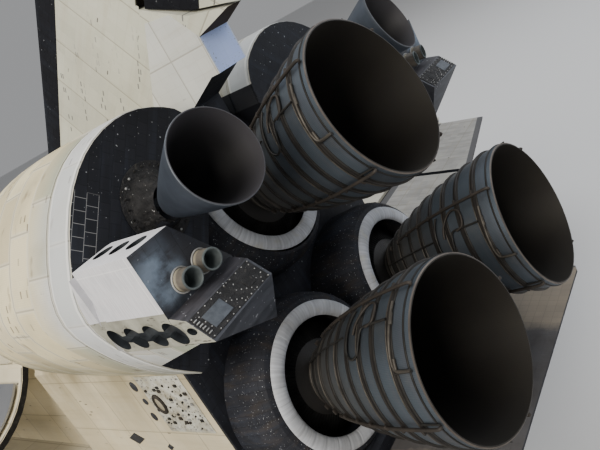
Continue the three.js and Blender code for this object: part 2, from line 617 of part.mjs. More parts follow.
function buildBodyFlap() {
  const radius = 215;
  const axisZ = 3734;
  const ring = (x, tailY) => {
    const nose = [];
    for (let i = 0; i <= 8; i += 1) {
      const angle = Math.PI / 2 + (Math.PI * i) / 8;
      nose.push([FLAP_HINGE_Y + radius * 0.5 * Math.cos(angle), axisZ + radius * 0.5 * Math.sin(angle)]);
    }
    return [...nose, [FLAP_HINGE_Y + 700, axisZ - 150], [tailY, axisZ - 60], [tailY, axisZ - 20],
      [FLAP_HINGE_Y + 500, axisZ + 170]].map(([y, z]) => point(x, y, z));
  };
  const panel = loft([ring(-3251, 16230), ring(-3112, 16281), ring(3112, 16281), ring(3251, 16230)]);
  const notch = block(-150, 150, 14000, FLAP_HINGE_Y + 120, 3500, 4000);
  const pins = [-1, 1].map((side) => {
    return rod(point(side * (120 + SEAT), FLAP_HINGE_Y, axisZ), point(side * 300, FLAP_HINGE_Y, axisZ), 40);
  });
  addPiece('body_flap', join(cut(panel, notch), ...pins), 'black_tile');
}

// Fin side view: leading edge, hinge line and trailing edge, each from the root up to the tip
const FIN = {
  lead: [[7874, DECK_Z], [15875, FIN_TOP_Z]],
  hinge: [[11963, DECK_Z], [17526, FIN_TOP_Z]],
  trail: [[14681, DECK_Z], [TAIL_Y, FIN_TOP_Z]],
  halfAngle: 5,
};

const finY = (line, z) => {
  const [[y0, z0], [y1, z1]] = FIN[line];
  return y0 + ((y1 - y0) * (z - z0)) / (z1 - z0);
};

const finHalf = (z) => (finY('hinge', z) - finY('lead', z)) * Math.tan(THREE.MathUtils.degToRad(FIN.halfAngle));

// Rudder: its lower end on the hinge line, the fin's stub that carries it, and how far its core lies under the skin
const RUDDER_LOW_Z = 11303;
const RUDDER_STUB_RADIUS = 60;
const RUDDER_CORE_DEPTH = 20;
const RUDDER_CORE_LENGTH = 7120;
const CORE_SIDES = 48;

// Furthest that one half of the split rudder swings: full rudder, full speed brake and a little room
const RUDDER_SWING_DEG = 22.8 + 43.7 + 1.5;
const RUDDER_END_ROOM = 25;

function buildFin() {
  const finRing = (z) => [
    point(0, finY('lead', z), z), point(finHalf(z) * 0.22, finY('lead', z) + 180, z),
    point(finHalf(z), finY('hinge', z), z), point(-finHalf(z), finY('hinge', z), z),
    point(-finHalf(z) * 0.22, finY('lead', z) + 180, z),
  ];
  const low = point(0, finY('hinge', RUDDER_LOW_Z), RUDDER_LOW_Z);
  const direction = point(0, finY('hinge', FIN_TOP_Z), FIN_TOP_Z).sub(low).normalize();
  const alongHinge = (distance) => low.clone().addScaledVector(direction, distance);
  // A cone round the hinge line that stays the given distance under the skin, or proud of it where depth is negative
  const hingeCone = (from, to, depth, sides) => {
    const radius = (distance) => finHalf(alongHinge(distance).z) - depth;
    return rod(alongHinge(from), alongHinge(to), radius(from), sides, radius(to));
  };

  const blade = loft([finRing(DECK_Z + SEAT), finRing(FIN_TOP_Z)]);
  const stub = rod(alongHinge(-900), alongHinge(0), RUDDER_STUB_RADIUS);
  const chuteSide = [
    [finY('hinge', 9300) + SEAT, 9300], [13180, 9300], [13180, 9652], [13850, 9956], [14021, 9957], [14021, 10516],
    [13716, 10960], [finY('hinge', 11030) + SEAT, 11030],
  ];
  const chute = sidePlate(chuteSide, -343, 343);
  const stubRoom = rod(alongHinge(-1400), alongHinge(100), RUDDER_STUB_RADIUS + 1);
  addPiece('drag_chute_housing', cut(chute, stubRoom, hingeCone(-250, 100, -CLEAR, RING_SIDES)), 'chute_tile');

  addPiece('rudder_hinge_tube', hingeCone(SEAT, RUDDER_CORE_LENGTH, RUDDER_CORE_DEPTH, CORE_SIDES), 'tile');

  // Each half of the split rudder is a wedge between the middle plane and the skin, aft of the core
  const wedgeRing = (z, side) => {
    const hingeY = finY('hinge', z);
    return [[24, finY('trail', z)], [finHalf(z) - 2, hingeY], [4, hingeY], [4, finY('trail', z)]]
      .map(([x, y]) => point(side * x, y, z));
  };
  const underside = sidePlate([
    [8000, 7000], [20000, 7000], [20000, 9250], [14021, 10860], [finY('hinge', RUDDER_LOW_Z) - 900, 11600],
    [8000, 11600],
  ], -1500, 1500);
  const coreRoom = hingeCone(-1500, 9000, RUDDER_CORE_DEPTH - 0.9, CORE_SIDES);
  const wedge = (side, spare) => {
    const whole = loft([wedgeRing(10000 - spare, side), wedgeRing(FIN_TOP_Z + spare, side)]);
    return cut(whole, underside.clone().translate(0, 0, -spare));
  };
  const halves = [['left', 1], ['right', -1]];
  for (const [label, side] of halves) addPiece(`speed_brake_${label}`, cut(wedge(side, 0), coreRoom), 'tile');

  // The fin's rear lips are cut away where a half swings furthest out
  const swingRoom = halves.map(([, side]) => {
    const turn = new THREE.Matrix4().makeRotationAxis(direction, -side * THREE.MathUtils.degToRad(RUDDER_SWING_DEG));
    const toHinge = new THREE.Matrix4().makeTranslation(low.x, low.y, low.z);
    return wedge(side, RUDDER_END_ROOM).applyMatrix4(toHinge.clone().multiply(turn).multiply(toHinge.clone().invert()));
  });
  const cove = hingeCone(-250, 8000, -CLEAR, RING_SIDES);
  addPiece('vertical_fin', join(cut(blade, cove, ...swingRoom), stub), 'tile');
}

// Landing gear: axle place, tyre size, wheel spacing and leg size
const NOSE_GEAR = { y: -14971, tyreRadius: 406, tyreWidth: 224, halfSpacing: 280, axle: 55 };
const MAIN_GEAR = { x: 3454, y: 5182, tyreRadius: 565, tyreWidth: 406, halfSpacing: 430, axle: 80 };

// A pair of tyres with their hubs on one axle along X, centred on its own origin
function wheelPair({ tyreRadius, tyreWidth, halfSpacing, axle }) {
  const half = tyreWidth / 2;
  const wheels = [-1, 1].map((side) => {
    const profile = [
      [0, -half * 0.55], [tyreRadius * 0.52, -half * 0.55], [tyreRadius * 0.56, -half * 0.9],
      [tyreRadius * 0.88, -half * 0.95], [tyreRadius, -half * 0.45], [tyreRadius, half * 0.45],
      [tyreRadius * 0.88, half * 0.95], [tyreRadius * 0.56, half * 0.9], [tyreRadius * 0.52, half * 0.55],
      [0, half * 0.55],
    ].map(([r, s]) => new THREE.Vector2(r, s));
    const wheel = new THREE.LatheGeometry(profile, WHEEL_SIDES);
    wheel.rotateZ(Math.PI / 2);
    return wheel.translate(side * halfSpacing, 0, 0);
  });
  const shaft = rod(point(-halfSpacing, 0, 0), point(halfSpacing, 0, 0), axle, AXLE_SIDES);
  return join(wheels[0], wheels[1], shaft);
}

function buildNoseGear() {
  const { y, tyreRadius, axle } = NOSE_GEAR;
  const roofZ = 4500;
  const collarZ = 2150;
  const leg = rod(point(0, y, collarZ), point(0, y, roofZ - SEAT), 105);
  const drag = rod(point(0, y - 1500, roofZ - 30), point(0, y, 2700), 60);
  const trim = block(-400, 400, -17000, y, roofZ - SEAT, roofZ + 300);
  addPiece('nose_gear_leg', cut(join(leg, drag), trim), 'gear_paint');
  const piston = rod(point(0, y, tyreRadius), point(0, y, collarZ - SEAT), 75);
  const hub = rod(point(-130, y, tyreRadius), point(130, y, tyreRadius), 110);
  const bore = rod(point(-200, y, tyreRadius), point(200, y, tyreRadius), axle + 0.75, AXLE_SIDES);
  addPiece('nose_gear_steering', cut(join(piston, hub), bore), 'gear_paint');
  const wheels = addPiece('nose_wheels', wheelPair(NOSE_GEAR), 'rubber');
  wheels.position.set(0, y, tyreRadius);
  for (const [label, side] of [['left', 1], ['right', -1]]) {
    const door = block(side * (430 - SEAT - 30), side * (430 - SEAT), -17050, -15450, 2980, 3850);
    addPiece(`nose_gear_door_${label}`, door, 'tile');
  }
}

function buildMainGear() {
  const { x, y, tyreRadius, axle } = MAIN_GEAR;
  const roofZ = 4300;
  for (const [label, side] of [['left', 1], ['right', -1]]) {
    const at = (dx, dy, z) => point(side * (x + dx), y + dy, z);
    const leg = rod(at(0, 0, 1500), at(0, 0, roofZ - SEAT), 150);
    const piston = rod(at(0, 0, tyreRadius), at(0, 0, 1600), 105);
    const hub = rod(at(-190, 0, tyreRadius), at(190, 0, tyreRadius), 165);
    const brace = rod(at(0, -1700, roofZ - 40), at(0, 0, 2500), 80);
    const bore = rod(at(-300, 0, tyreRadius), at(300, 0, tyreRadius), axle + 0.75, AXLE_SIDES);
    const trim = block(side * 2900, side * 4000, 2000, 5600, roofZ - SEAT, roofZ + 400);
    addPiece(`main_gear_leg_${label}`, cut(join(leg, piston, hub, brace), bore, trim), 'gear_paint');
    const wheels = addPiece(`main_wheels_${label}`, wheelPair(MAIN_GEAR), 'rubber');
    wheels.position.set(side * x, y, tyreRadius);
    const door = block(side * (4120 - SEAT - 40), side * (4120 - SEAT), 1720, 5630, 2280, 3850);
    addPiece(`main_gear_door_${label}`, door, 'tile');
  }
}

buildForwardFuselage();
buildMidFuselage();
buildPayloadDoors();
buildAftFuselage();
buildMainEngines();
buildPods();
buildOrbitalEngines();
buildWings();
buildBodyFlap();
buildFin();
buildNoseGear();
buildMainGear();

export default orbiter;
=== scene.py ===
"""Looks of a winged spaceplane orbiter parked on its gear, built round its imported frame, in metres."""
import json
import math
from contextlib import contextmanager
from functools import cache, reduce, wraps

import bpy
from mathutils import Matrix, Quaternion, Vector

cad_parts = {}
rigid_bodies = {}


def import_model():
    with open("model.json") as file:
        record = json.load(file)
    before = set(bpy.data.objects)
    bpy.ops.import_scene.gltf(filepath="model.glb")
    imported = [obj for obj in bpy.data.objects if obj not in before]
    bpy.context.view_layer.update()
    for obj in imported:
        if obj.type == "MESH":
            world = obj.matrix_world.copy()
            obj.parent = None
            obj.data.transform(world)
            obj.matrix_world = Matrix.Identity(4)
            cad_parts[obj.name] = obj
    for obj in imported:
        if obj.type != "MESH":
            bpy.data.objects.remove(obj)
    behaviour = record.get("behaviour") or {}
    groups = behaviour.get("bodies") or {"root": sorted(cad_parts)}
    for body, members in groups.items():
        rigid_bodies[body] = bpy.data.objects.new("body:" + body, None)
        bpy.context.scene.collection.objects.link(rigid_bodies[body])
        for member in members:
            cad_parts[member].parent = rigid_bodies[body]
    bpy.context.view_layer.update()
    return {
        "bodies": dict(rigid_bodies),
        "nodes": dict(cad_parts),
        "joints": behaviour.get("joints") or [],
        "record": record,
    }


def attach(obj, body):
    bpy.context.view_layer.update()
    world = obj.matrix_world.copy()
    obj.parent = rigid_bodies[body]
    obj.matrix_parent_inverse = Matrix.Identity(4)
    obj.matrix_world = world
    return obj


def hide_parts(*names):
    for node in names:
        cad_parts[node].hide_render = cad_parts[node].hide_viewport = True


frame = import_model()
NODES = frame["nodes"]
JOINTS = {joint["name"]: joint for joint in frame["joints"]}
TURN = 2 * math.pi

bl_info = {
    "name": "Spaceplane orbiter looks",
    "version": (1, 0, 0),
    "blender": (4, 5, 0),
    "location": "3D View > Sidebar > Orbiter",
    "description": "Finishes and detailed pieces for a winged spaceplane orbiter",
    "category": "Object",
}


# Settings that a user would change

def colour(name, description, default):
    """A colour setting, in linear light."""
    return bpy.props.FloatVectorProperty(
        name=name, description=description, subtype="COLOR", size=3, min=0, max=1, default=default)


def length(name, description, default):
    """A length setting in metres."""
    return bpy.props.FloatProperty(
        name=name, description=description, subtype="DISTANCE", unit="LENGTH", min=0, default=default)


def angle(name, description, degrees):
    """An angle setting, given in degrees."""
    return bpy.props.FloatProperty(
        name=name, description=description, subtype="ANGLE", unit="ROTATION", default=math.radians(degrees))


class OrbiterColours(bpy.types.PropertyGroup):
    """Colours of the orbiter's finishes."""

    # The white's strong yellow cast is painted warm lamp light over the tiles' own cream
    white: colour("White skin", "Silica tiles and blankets on the upper surfaces", (0.64, 0.565, 0.395))
    black: colour("Black tile", "Tiles on the belly, base and pods' rear faces", (0.014, 0.015, 0.020))
    haze: colour("Blue haze", "Scuffs that cloud the black tiles", (0.055, 0.070, 0.105))
    carbon: colour("Carbon", "Nose cap and wing leading edges", (0.16, 0.165, 0.175))
    steel: colour("Bell steel", "Main bells between their bands", (0.105, 0.122, 0.145))
    bronze: colour("Bronze", "Heat-stained bands on the main bells", (0.034, 0.029, 0.025))
    rim: colour("Rim", "Exit rims of the main bells", (0.14, 0.118, 0.10))
    brown: colour("Brown pipe", "Drain pipes and clips on the main bells", (0.046, 0.038, 0.032))
    port: colour("Port", "Inside of the thruster ports", (0.012, 0.014, 0.018))
    silver: colour("Radiator", "Silver sheet on the payload doors' radiators", (0.40, 0.41, 0.43))
    glass: colour("Window glass", "Dark outer panes of the cabin windows", (0.010, 0.012, 0.016))
    gear: colour("Gear paint", "Painted landing gear legs", (0.56, 0.57, 0.56))
    tyre: colour("Tyre", "Rubber of the tyres", (0.020, 0.020, 0.021))
    soot: colour("Soot", "Inside of the main bells near the exit", (0.024, 0.020, 0.016))
    chute: colour("Chute tile", "Pale blue tiles on the drag chute's door", (0.50, 0.62, 1.0))
    # The tan is the worn flap face with the warm lamp's light painted into it
    tan: colour("Tan", "Worn upper face of the body flap", (0.27, 0.23, 0.18))
    floor: colour("Floor", "Plain pale studio floor", (0.62, 0.62, 0.62))


class OrbiterSizes(bpy.types.PropertyGroup):
    """Sizes of the modelled pieces."""

    bell_exit: length("Main bell exit radius", "Outer radius of a main bell at its rim", 1.176)
    bell_wall: length("Main bell wall", "Thickness of a main bell's tube wall", 0.045)
    bell_length: length("Main bell length", "From the gimbal to the exit rim", 3.98)
    orbital_exit: length("Orbital bell exit radius", "Outer radius of an orbital bell at its rim", 0.583)
    orbital_length: length("Orbital bell length", "From the gimbal to the exit rim", 1.418)
    orbital_wall: length("Orbital bell wall", "Thickness of an orbital bell's wall", 0.018)
    quilt_rise: length("Quilt rise", "How far the pods' rim quilts stand proud", 0.014)
    stud_radius: length("Stud radius", "Radius of a bolt head on the rear panels", 0.0075)


class OrbiterStage(bpy.types.PropertyGroup):
    """Camera and light of the stage."""

    camera_place: bpy.props.FloatVectorProperty(
        name="Camera place", description="Where the photograph was taken from", subtype="TRANSLATION", size=3,
        unit="LENGTH", default=(7.159, 20.222, 10.427))
    camera_aim: bpy.props.FloatVectorProperty(
        name="Camera aim", description="Point in the middle of the view", subtype="TRANSLATION", size=3,
        unit="LENGTH", default=(0.1653, 13.7762, 7.3388))
    camera_roll: angle("Camera roll", "How far the view is rolled", -29.35)
    camera_lens: bpy.props.FloatProperty(
        name="Lens", description="Focal length on a 36 mm wide sensor", subtype="DISTANCE_CAMERA",
        unit="CAMERA", default=38.246)


# Mesh tools

def pick(*pieces):
    """Selects only these pieces, in object mode."""
    if bpy.context.object and bpy.context.object.mode != "OBJECT":
        bpy.ops.object.mode_set(mode="OBJECT")
    bpy.ops.object.select_all(action="DESELECT")
    for piece in pieces:
        piece.select_set(True)
    if pieces:
        bpy.context.view_layer.objects.active = pieces[0]


@contextmanager
def editing(piece, everything=True):
    """Edit mode on one piece, with all of it selected or with what was chosen before."""
    pick(piece)
    bpy.ops.object.mode_set(mode="EDIT")
    if everything:
        bpy.ops.mesh.select_all(action="SELECT")
    yield
    bpy.ops.object.mode_set(mode="OBJECT")


def chosen(piece, kind, wanted):
    """Selects only the vertices, edges or polygons that pass a test."""
    with editing(piece):
        bpy.ops.mesh.select_all(action="DESELECT")
    for part in getattr(piece.data, kind):
        part.select = wanted(part)
    return piece


def added(name, operator, **options):
    """A new primitive with its place in its mesh."""
    pick()
    operator(**options)
    piece = bpy.context.object
    piece.name = name
    bpy.ops.object.transform_apply(location=True, rotation=True, scale=True)
    return piece


def settled(piece, matrix):
    """Moves a finished mesh to its place and leaves its object at the origin."""
    piece.matrix_world = matrix
    pick(piece)
    bpy.ops.object.transform_apply(location=True, rotation=True, scale=True)
    return piece


def twin(piece, name, matrix=None):
    """A copy with its own mesh, moved by a matrix."""
    other = piece.copy()
    other.data = piece.data.copy()
    other.name = name
    bpy.context.scene.collection.objects.link(other)
    return settled(other, matrix) if matrix else other


def joined(pieces, name):
    """One piece out of several."""
    pick(*pieces)
    if len(pieces) > 1:
        bpy.ops.object.join()
    piece = bpy.context.object
    piece.name = name
    return piece


def cleaned(piece, smooth=35):
    """Merges doubles, points the faces outwards and smooths edges flatter than an angle."""
    with editing(piece):
        bpy.ops.mesh.remove_doubles(threshold=1e-5)
        bpy.ops.mesh.normals_make_consistent(inside=False)
    pick(piece)
    bpy.ops.object.shade_smooth_by_angle(angle=math.radians(smooth))
    return piece


def polyline(name, points):
    """A chain of edges drawn out from one corner."""
    points = [Vector(point) for point in points]
    piece = added(name, bpy.ops.mesh.primitive_plane_add, size=0.01, location=points[0])
    with editing(piece):
        bpy.ops.mesh.merge(type="CENTER")
        for start, end in zip(points, points[1:]):
            bpy.ops.mesh.extrude_vertices_move(TRANSFORM_OT_translate={"value": end - start})
    return piece


def turned(name, profile, steps=96, smooth=35):
    """A skin turned about +Y through (radius, distance) points."""
    piece = polyline(name, [(radius, distance, 0) for radius, distance in profile])
    with editing(piece):
        bpy.ops.mesh.spin(steps=steps, angle=TURN, center=(0, 0, 0), axis=(0, 1, 0))
    return cleaned(piece, smooth)


def piped(name, points, radius, resolution=1):
    """A round pipe along points, with closed ends."""
    piece = polyline(name, points)
    pick(piece)
    bpy.ops.object.convert(target="CURVE")
    piece = bpy.context.object
    piece.data.bevel_depth = radius
    piece.data.bevel_resolution = resolution
    piece.data.use_fill_caps = True
    bpy.ops.object.convert(target="MESH")
    return cleaned(bpy.context.object, 60)


def smooth_route(corners, steps=8):
    """Points of a smooth curve through corners."""
    corners = [Vector(corner) for corner in corners]
    padded = [corners[0] * 2 - corners[1], *corners, corners[-1] * 2 - corners[-2]]
    points = []
    for before, start, end, after in zip(padded, padded[1:], padded[2:], padded[3:]):
        for step in range(steps):
            t = step / steps
            pull = (end - before) * t + (2 * before - 5 * start + 4 * end - after) * t ** 2
            points.append(start + 0.5 * (pull + (3 * start - before - 3 * end + after) * t ** 3))
    return [*points, corners[-1]]


def prism(name, outline, reach, smooth=30):
    """A flat outline pushed out along a vector."""
    piece = polyline(name, [*outline, outline[0]])
    with editing(piece):
        bpy.ops.mesh.remove_doubles(threshold=1e-5)
        bpy.ops.mesh.edge_face_add()
        bpy.ops.mesh.extrude_region_move(TRANSFORM_OT_translate={"value": reach})
    return cleaned(piece, smooth)


def plate(name, size, place, bevel=0.004):
    """A block with softened edges that stands on the xy plane of its place."""
    piece = added(name, bpy.ops.mesh.primitive_cube_add, size=1, location=(0, 0, size[2] / 2), scale=size)
    with editing(piece):
        bpy.ops.mesh.bevel(offset=bevel, segments=2, affect="EDGES")
    return settled(cleaned(piece, 40), place)


def disc(name, radius, height, place, sides=24, bevel=0.3):
    """A round cap with a softened rim that stands on the xy plane of its place."""
    piece = added(name, bpy.ops.mesh.primitive_cylinder_add, vertices=sides, radius=radius, depth=height,
                  location=(0, 0, height / 2))

    def upper(edge):
        return all(piece.data.vertices[index].co.z > height * 0.9 for index in edge.vertices)

    with editing(chosen(piece, "edges", upper), everything=False):
        bpy.ops.mesh.bevel(offset=min(height, radius) * bevel, segments=2, affect="EDGES")
    return settled(cleaned(piece, 40), place)


def studs(name, places, radius, height, sides=8):
    """Bolt heads at several places, as one piece."""
    stud = disc("stud", radius, height, Matrix(), sides, 0.35)
    heads = [twin(stud, "stud", place) for place in places]
    bpy.data.objects.remove(stud)
    return joined(heads, name)


def spun(degrees, axis):
    """A turn about one axis."""
    return Matrix.Rotation(math.radians(degrees), 4, axis)


def frame_at(origin, across, normal):
    """A place with its x along a direction and its z along a normal."""
    z = Vector(normal).normalized()
    y = z.cross(Vector(across)).normalized()
    turn = Matrix((y.cross(z), y, z)).transposed()
    return Matrix.Translation(origin) @ turn.to_4x4()


def solid_copy(node_name, name):
    """A welded copy of a CAD node whose flat stretches are single faces."""
    piece = bpy.data.objects.new(name, NODES[node_name].data.copy())
    bpy.context.scene.collection.objects.link(piece)
    piece.data.materials.clear()
    if "custom_normal" in piece.data.attributes:
        piece.data.attributes.remove(piece.data.attributes["custom_normal"])
    with editing(piece):
        bpy.ops.mesh.remove_doubles(threshold=1e-4)
        bpy.ops.mesh.dissolve_limited(angle_limit=math.radians(0.5))
    return piece


def finished(piece, kind, **options):
    """Applies one modifier."""
    modifier = piece.modifiers.new("shape", kind)
    for label, value in options.items():
        setattr(modifier, label, value)
    pick(piece)
    bpy.ops.object.modifier_apply(modifier=modifier.name)
    return piece


def wrapped(piece):
    """Lays a UV map round +Y: u is the turn and v the distance along the axis."""
    mesh = piece.data
    layer = mesh.uv_layers.new(name="wrap")
    for face in mesh.polygons:
        middle = math.atan2(face.center.z, face.center.x) / TURN
        for index in face.loop_indices:
            corner = mesh.vertices[mesh.loops[index].vertex_index].co
            turn = math.atan2(corner.z, corner.x) / TURN
            layer.data[index].uv = (turn + round(middle - turn), corner.y)
    return piece


def painted(piece, *materials):
    """Gives a piece its materials or the metals named, the first one all over."""
    piece.data.materials.clear()
    for material in materials:
        piece.data.materials.append(metal(material) if material in METALS else material)
    return piece


def paint_faces(piece, slot_index, wanted):
    """Gives the faces that pass a test one of the piece's materials."""
    for face in piece.data.polygons:
        if wanted(face.center, face.normal):
            face.material_index = slot_index
    return piece


def riding(piece, body, slot, *replaced):
    """Attaches a finished piece to the body that carries it and hides the nodes that it stands for; the slot
    is not used.
    """
    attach(piece, body)
    if replaced:
        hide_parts(*replaced)
    return piece


# Materials

def operation(kind, swapped=False):
    """A method that adds one Math node, its own term first or last."""
    def method(self, *others):
        terms = (*others, self) if swapped else (self, *others)
        return self.finish.maths(kind, *terms)
    return method


class Term:
    """A number or a colour in a material; sums, products and the like add Math nodes."""

    def __init__(self, finish, socket):
        self.finish = finish
        self.socket = socket

    __add__ = operation("ADD")
    __radd__ = operation("ADD", swapped=True)
    __sub__ = operation("SUBTRACT")
    __rsub__ = operation("SUBTRACT", swapped=True)
    __mul__ = operation("MULTIPLY")
    __rmul__ = operation("MULTIPLY", swapped=True)
    __truediv__ = operation("DIVIDE")
    __gt__ = operation("GREATER_THAN")
    __lt__ = operation("LESS_THAN")
    __abs__ = operation("ABSOLUTE")
    floor = operation("FLOOR")
    fraction = operation("FRACT")
    least = operation("MINIMUM")
    most = operation("MAXIMUM")
    root = operation("SQRT")

    def ramp(self, low, high):
        """0 below low, 1 above high and even in between; low may lie above high."""
        return self.finish.node("ShaderNodeMapRange", {}, {"Value": self, "From Min": low, "From Max": high})

    def off_middle(self):
        """How far a number lies from the middle between two whole numbers."""
        return abs(self.fraction() - 0.5)

    def under(self, share, shade):
        """This colour with another laid over it, all of the other where the share is 1."""
        return self.finish.mix(share, self, shade)

    def coats(self, *laid):
        """This colour with others laid over it in turn, each a share and a colour."""
        return reduce(lambda tone, coat: tone.under(*coat), laid, self)


class Finish:
    """One material, put together from wrapped sockets."""

    def __init__(self, name, **constants):
        self.material = bpy.data.materials.new(name)
        self.material.use_nodes = True
        self.tree = self.material.node_tree
        self.tree.nodes.clear()
        self.shader = self.tree.nodes.new("ShaderNodeBsdfPrincipled")
        output = self.tree.nodes.new("ShaderNodeOutputMaterial")
        self.tree.links.new(self.shader.outputs[0], output.inputs["Surface"])
        for label, value in constants.items():
            self.give(self.shader.inputs[label.replace("_", " ").title()], value)

    def give(self, socket, value):
        """Links a wrapped socket, or sets a plain value."""
        if isinstance(value, Term):
            self.tree.links.new(value.socket, socket)
        elif socket.type == "RGBA" and len(value) == 3:
            socket.default_value = (*value, 1)
        else:
            socket.default_value = value

    def node(self, kind, settings, inputs, output=0):
        """Adds a node, its settings first and then the values or links of its sockets."""
        made = self.tree.nodes.new(kind)
        for label, value in settings.items():
            setattr(made, label, value)
        for label, value in inputs.items():
            self.give(made.inputs[label], value)
        return Term(self, made.outputs[output])

    def maths(self, operation, *terms):
        return self.node("ShaderNodeMath", {"operation": operation}, dict(enumerate(terms)))

    def mix(self, share, first, second):
        """A colour between two, all second where the share is 1."""
        return self.node("ShaderNodeMix", {"data_type": "RGBA"}, {0: share, 6: first, 7: second}, 2)

    def join(self, x, y, z=0.0):
        return self.node("ShaderNodeCombineXYZ", {}, {"X": x, "Y": y, "Z": z})

    def split(self, vector):
        made = self.tree.nodes.new("ShaderNodeSeparateXYZ")
        self.give(made.inputs[0], vector)
        return [Term(self, socket) for socket in made.outputs]

    def spread(self):
        """A point's place, as one vector."""
        return self.node("ShaderNodeTexCoord", {}, {}, "Object")

    def place(self):
        """x, y and z of a point's place."""
        return self.split(self.spread())

    def local(self, frame):
        """x, y and z in a piece's own frame."""
        x, y, z = self.place()
        return [x * row[0] + y * row[1] + z * row[2] + row[3] for row in frame.inverted()[:3]]

    def turn(self, across, up):
        """The angle of a direction, in whole turns."""
        return self.maths("ARCTAN2", up, across) / TURN

    def facing(self):
        """The surface's direction, as x, y and z."""
        return self.split(self.node("ShaderNodeNewGeometry", {}, {}, "Normal"))

    def wrap(self):
        """The turn about a piece's axis and the distance along it."""
        return self.split(self.node("ShaderNodeUVMap", {"uv_map": "wrap"}, {}))[:2]

    def noise(self, vector, scale, detail=3.0, roughness=0.55):
        return self.node("ShaderNodeTexNoise", {}, {
            "Vector": vector, "Scale": scale, "Detail": detail, "Roughness": roughness})

    def chance(self, x, y=0.0, z=0.0):
        """A steady random number for each whole x, y and z."""
        cell = self.join(*(part.floor() if isinstance(part, Term) else part for part in (x, y, z)))
        return self.node("ShaderNodeTexWhiteNoise", {"noise_dimensions": "3D"}, {"Vector": cell})

    def grid(self, u, v, width, height, gap, stagger=0.0):
        """Rows of tiles: a mask of the gaps, a random number for each tile and how far in from its edge."""
        row = v / height
        column = u / width + row.floor() * stagger
        side = (0.5 - column.off_middle()) * width
        end = (0.5 - row.off_middle()) * height
        edge = side.least(end)
        return edge.ramp(gap, gap * 0.5), self.chance(column, row), edge

    def done(self, shade, bump=None, rough=None, gloss=None):
        """The material with its colour and, where given, its bump as height, depth and strength."""
        self.give(self.shader.inputs["Base Color"], shade)
        if rough is not None:
            self.give(self.shader.inputs["Roughness"], rough)
        if gloss is not None:
            self.give(self.shader.inputs["Specular IOR Level"], gloss)
        if bump is not None:
            relief = self.node("ShaderNodeBump", {}, dict(zip(("Height", "Distance", "Strength"), bump)))
            self.give(self.shader.inputs["Normal"], relief)
        return self.material


def skin(**constants):
    """Turns a function that fills in a finish into one that makes the material of its own name, once."""
    def wrap(fill):
        @cache
        @wraps(fill)
        def made():
            return fill(Finish(fill.__name__, **constants))
        return made
    return wrap


def shades():
    """The colour settings."""
    return bpy.context.scene.orbiter_colours


def tuned(shade, factor):
    """A colour made lighter or darker."""
    return tuple(min(1, part * factor) for part in shade)


# Faces that look down more than this are the underside; behind the nose's end the black tiles reach up to the
# belly line; the base is black below its top and behind its front, and so is the foot of the fin: half width,
# front and bottom
UNDERSIDE = -0.42
BELLY_LINE = 3.74
NOSE_END = -17.0
BASE_TOP = 9.15
BASE_FRONT = 12.85
FIN_FOOT = (0.8, 11.2, 9.1)


def rear_faces(finish):
    """Mask of the faces that look ahead or aft."""
    return abs(finish.facing()[1]) > 0.7


def flat_axes(finish):
    """Two coordinates that lie in the surface: along the body and up its sides, or across its top or rear."""
    x, y, z = finish.place()
    nz = finish.facing()[2]
    top = abs(nz) > 0.62
    u = y + rear_faces(finish) * (x - y)
    v = z + top * (x - z)
    return x, y, z, u, v, nz


def black_tiles(finish, u, v, size=0.155, pale=0.0):
    """Black tile colour with specks, streaks, haze and gaps that may be pale, and its bump height."""
    palette = shades()
    gap, number, edge = finish.grid(v, u, size, size, 0.0045, 0.5)
    spread = finish.join(u, v)
    streaks = finish.noise(finish.join(u * 7, v * 0.6), 1.0, 4)
    cloud = finish.noise(spread, 0.8, 5)
    tone = finish.mix(number * 0.5, palette.black, tuned(palette.black, 1.7))
    tone = tone.under(streaks.ramp(0.50, 0.80) * 0.30, palette.haze)
    tone = tone.under(cloud.ramp(0.58, 0.80) * 0.45, palette.haze)
    speck = finish.noise(spread, 23.0, 1).ramp(0.71, 0.745) * finish.noise(spread, 1.9, 2).ramp(0.46, 0.58)
    scuff = finish.noise(spread, 60.0, 2).ramp(0.66, 0.72) * finish.noise(spread, 3.1, 3).ramp(0.50, 0.66)
    tone = tone.coats(
        (scuff * 0.25, (0.30, 0.31, 0.33)),
        (speck * 0.85, (0.55, 0.57, 0.60)),
        (gap * 0.6, (0.004, 0.004, 0.005)),
        (gap * pale, (0.46, 0.46, 0.46)),
    )
    height = edge.ramp(0.0, 0.006) + number * 0.10
    return tone, height


def dashes(finish, u, v, width, height, share):
    """Small worn marks in rows."""
    column, row = u / width, v / height
    inside = (column.off_middle() < 0.34) * (row.off_middle() < 0.30)
    where = finish.noise(finish.join(u, v), 0.75, 2).ramp(0.47, 0.56)
    return (finish.chance(column, row, 3.0) > 1 - share) * inside * where


def white_skin(finish, u, v, panel=(0.94, 1.10), cream=None):
    """Cream quilt and tile colour with panel lines, worn dashes and stains, and its bump height."""
    cream = cream or shades().white
    seam, number, edge = finish.grid(u, v, panel[0], panel[1], 0.013)
    gap, tile, tile_edge = finish.grid(u, v, 0.205, 0.205, 0.003)
    spread = finish.join(u, v)
    stain = finish.noise(spread, 0.55, 5)
    streak = finish.noise(finish.join(u * 0.6, v * 5.0), 1.0, 4)
    tone = finish.mix(number * 0.6, cream, tuned(cream, 1.22))
    tone = tone.coats(
        (stain.ramp(0.40, 0.70) * 0.50, tuned(cream, 0.72)),
        (streak.ramp(0.52, 0.8) * 0.30, (0.36, 0.30, 0.19)),
        (tile * 0.14, (0.78, 0.76, 0.68)),
        (gap * 0.16, (0.20, 0.18, 0.14)),
        (seam * 0.50, (0.22, 0.19, 0.13)),
        (dashes(finish, u, v, 0.11, 0.036, 0.012) * 0.85, (0.05, 0.045, 0.04)),
    )
    weave = finish.noise(spread, 90.0, 2)
    height = edge.ramp(0.0, 0.03) + tile_edge.ramp(0.0, 0.012) * 0.3 + weave * 0.12
    return tone, height


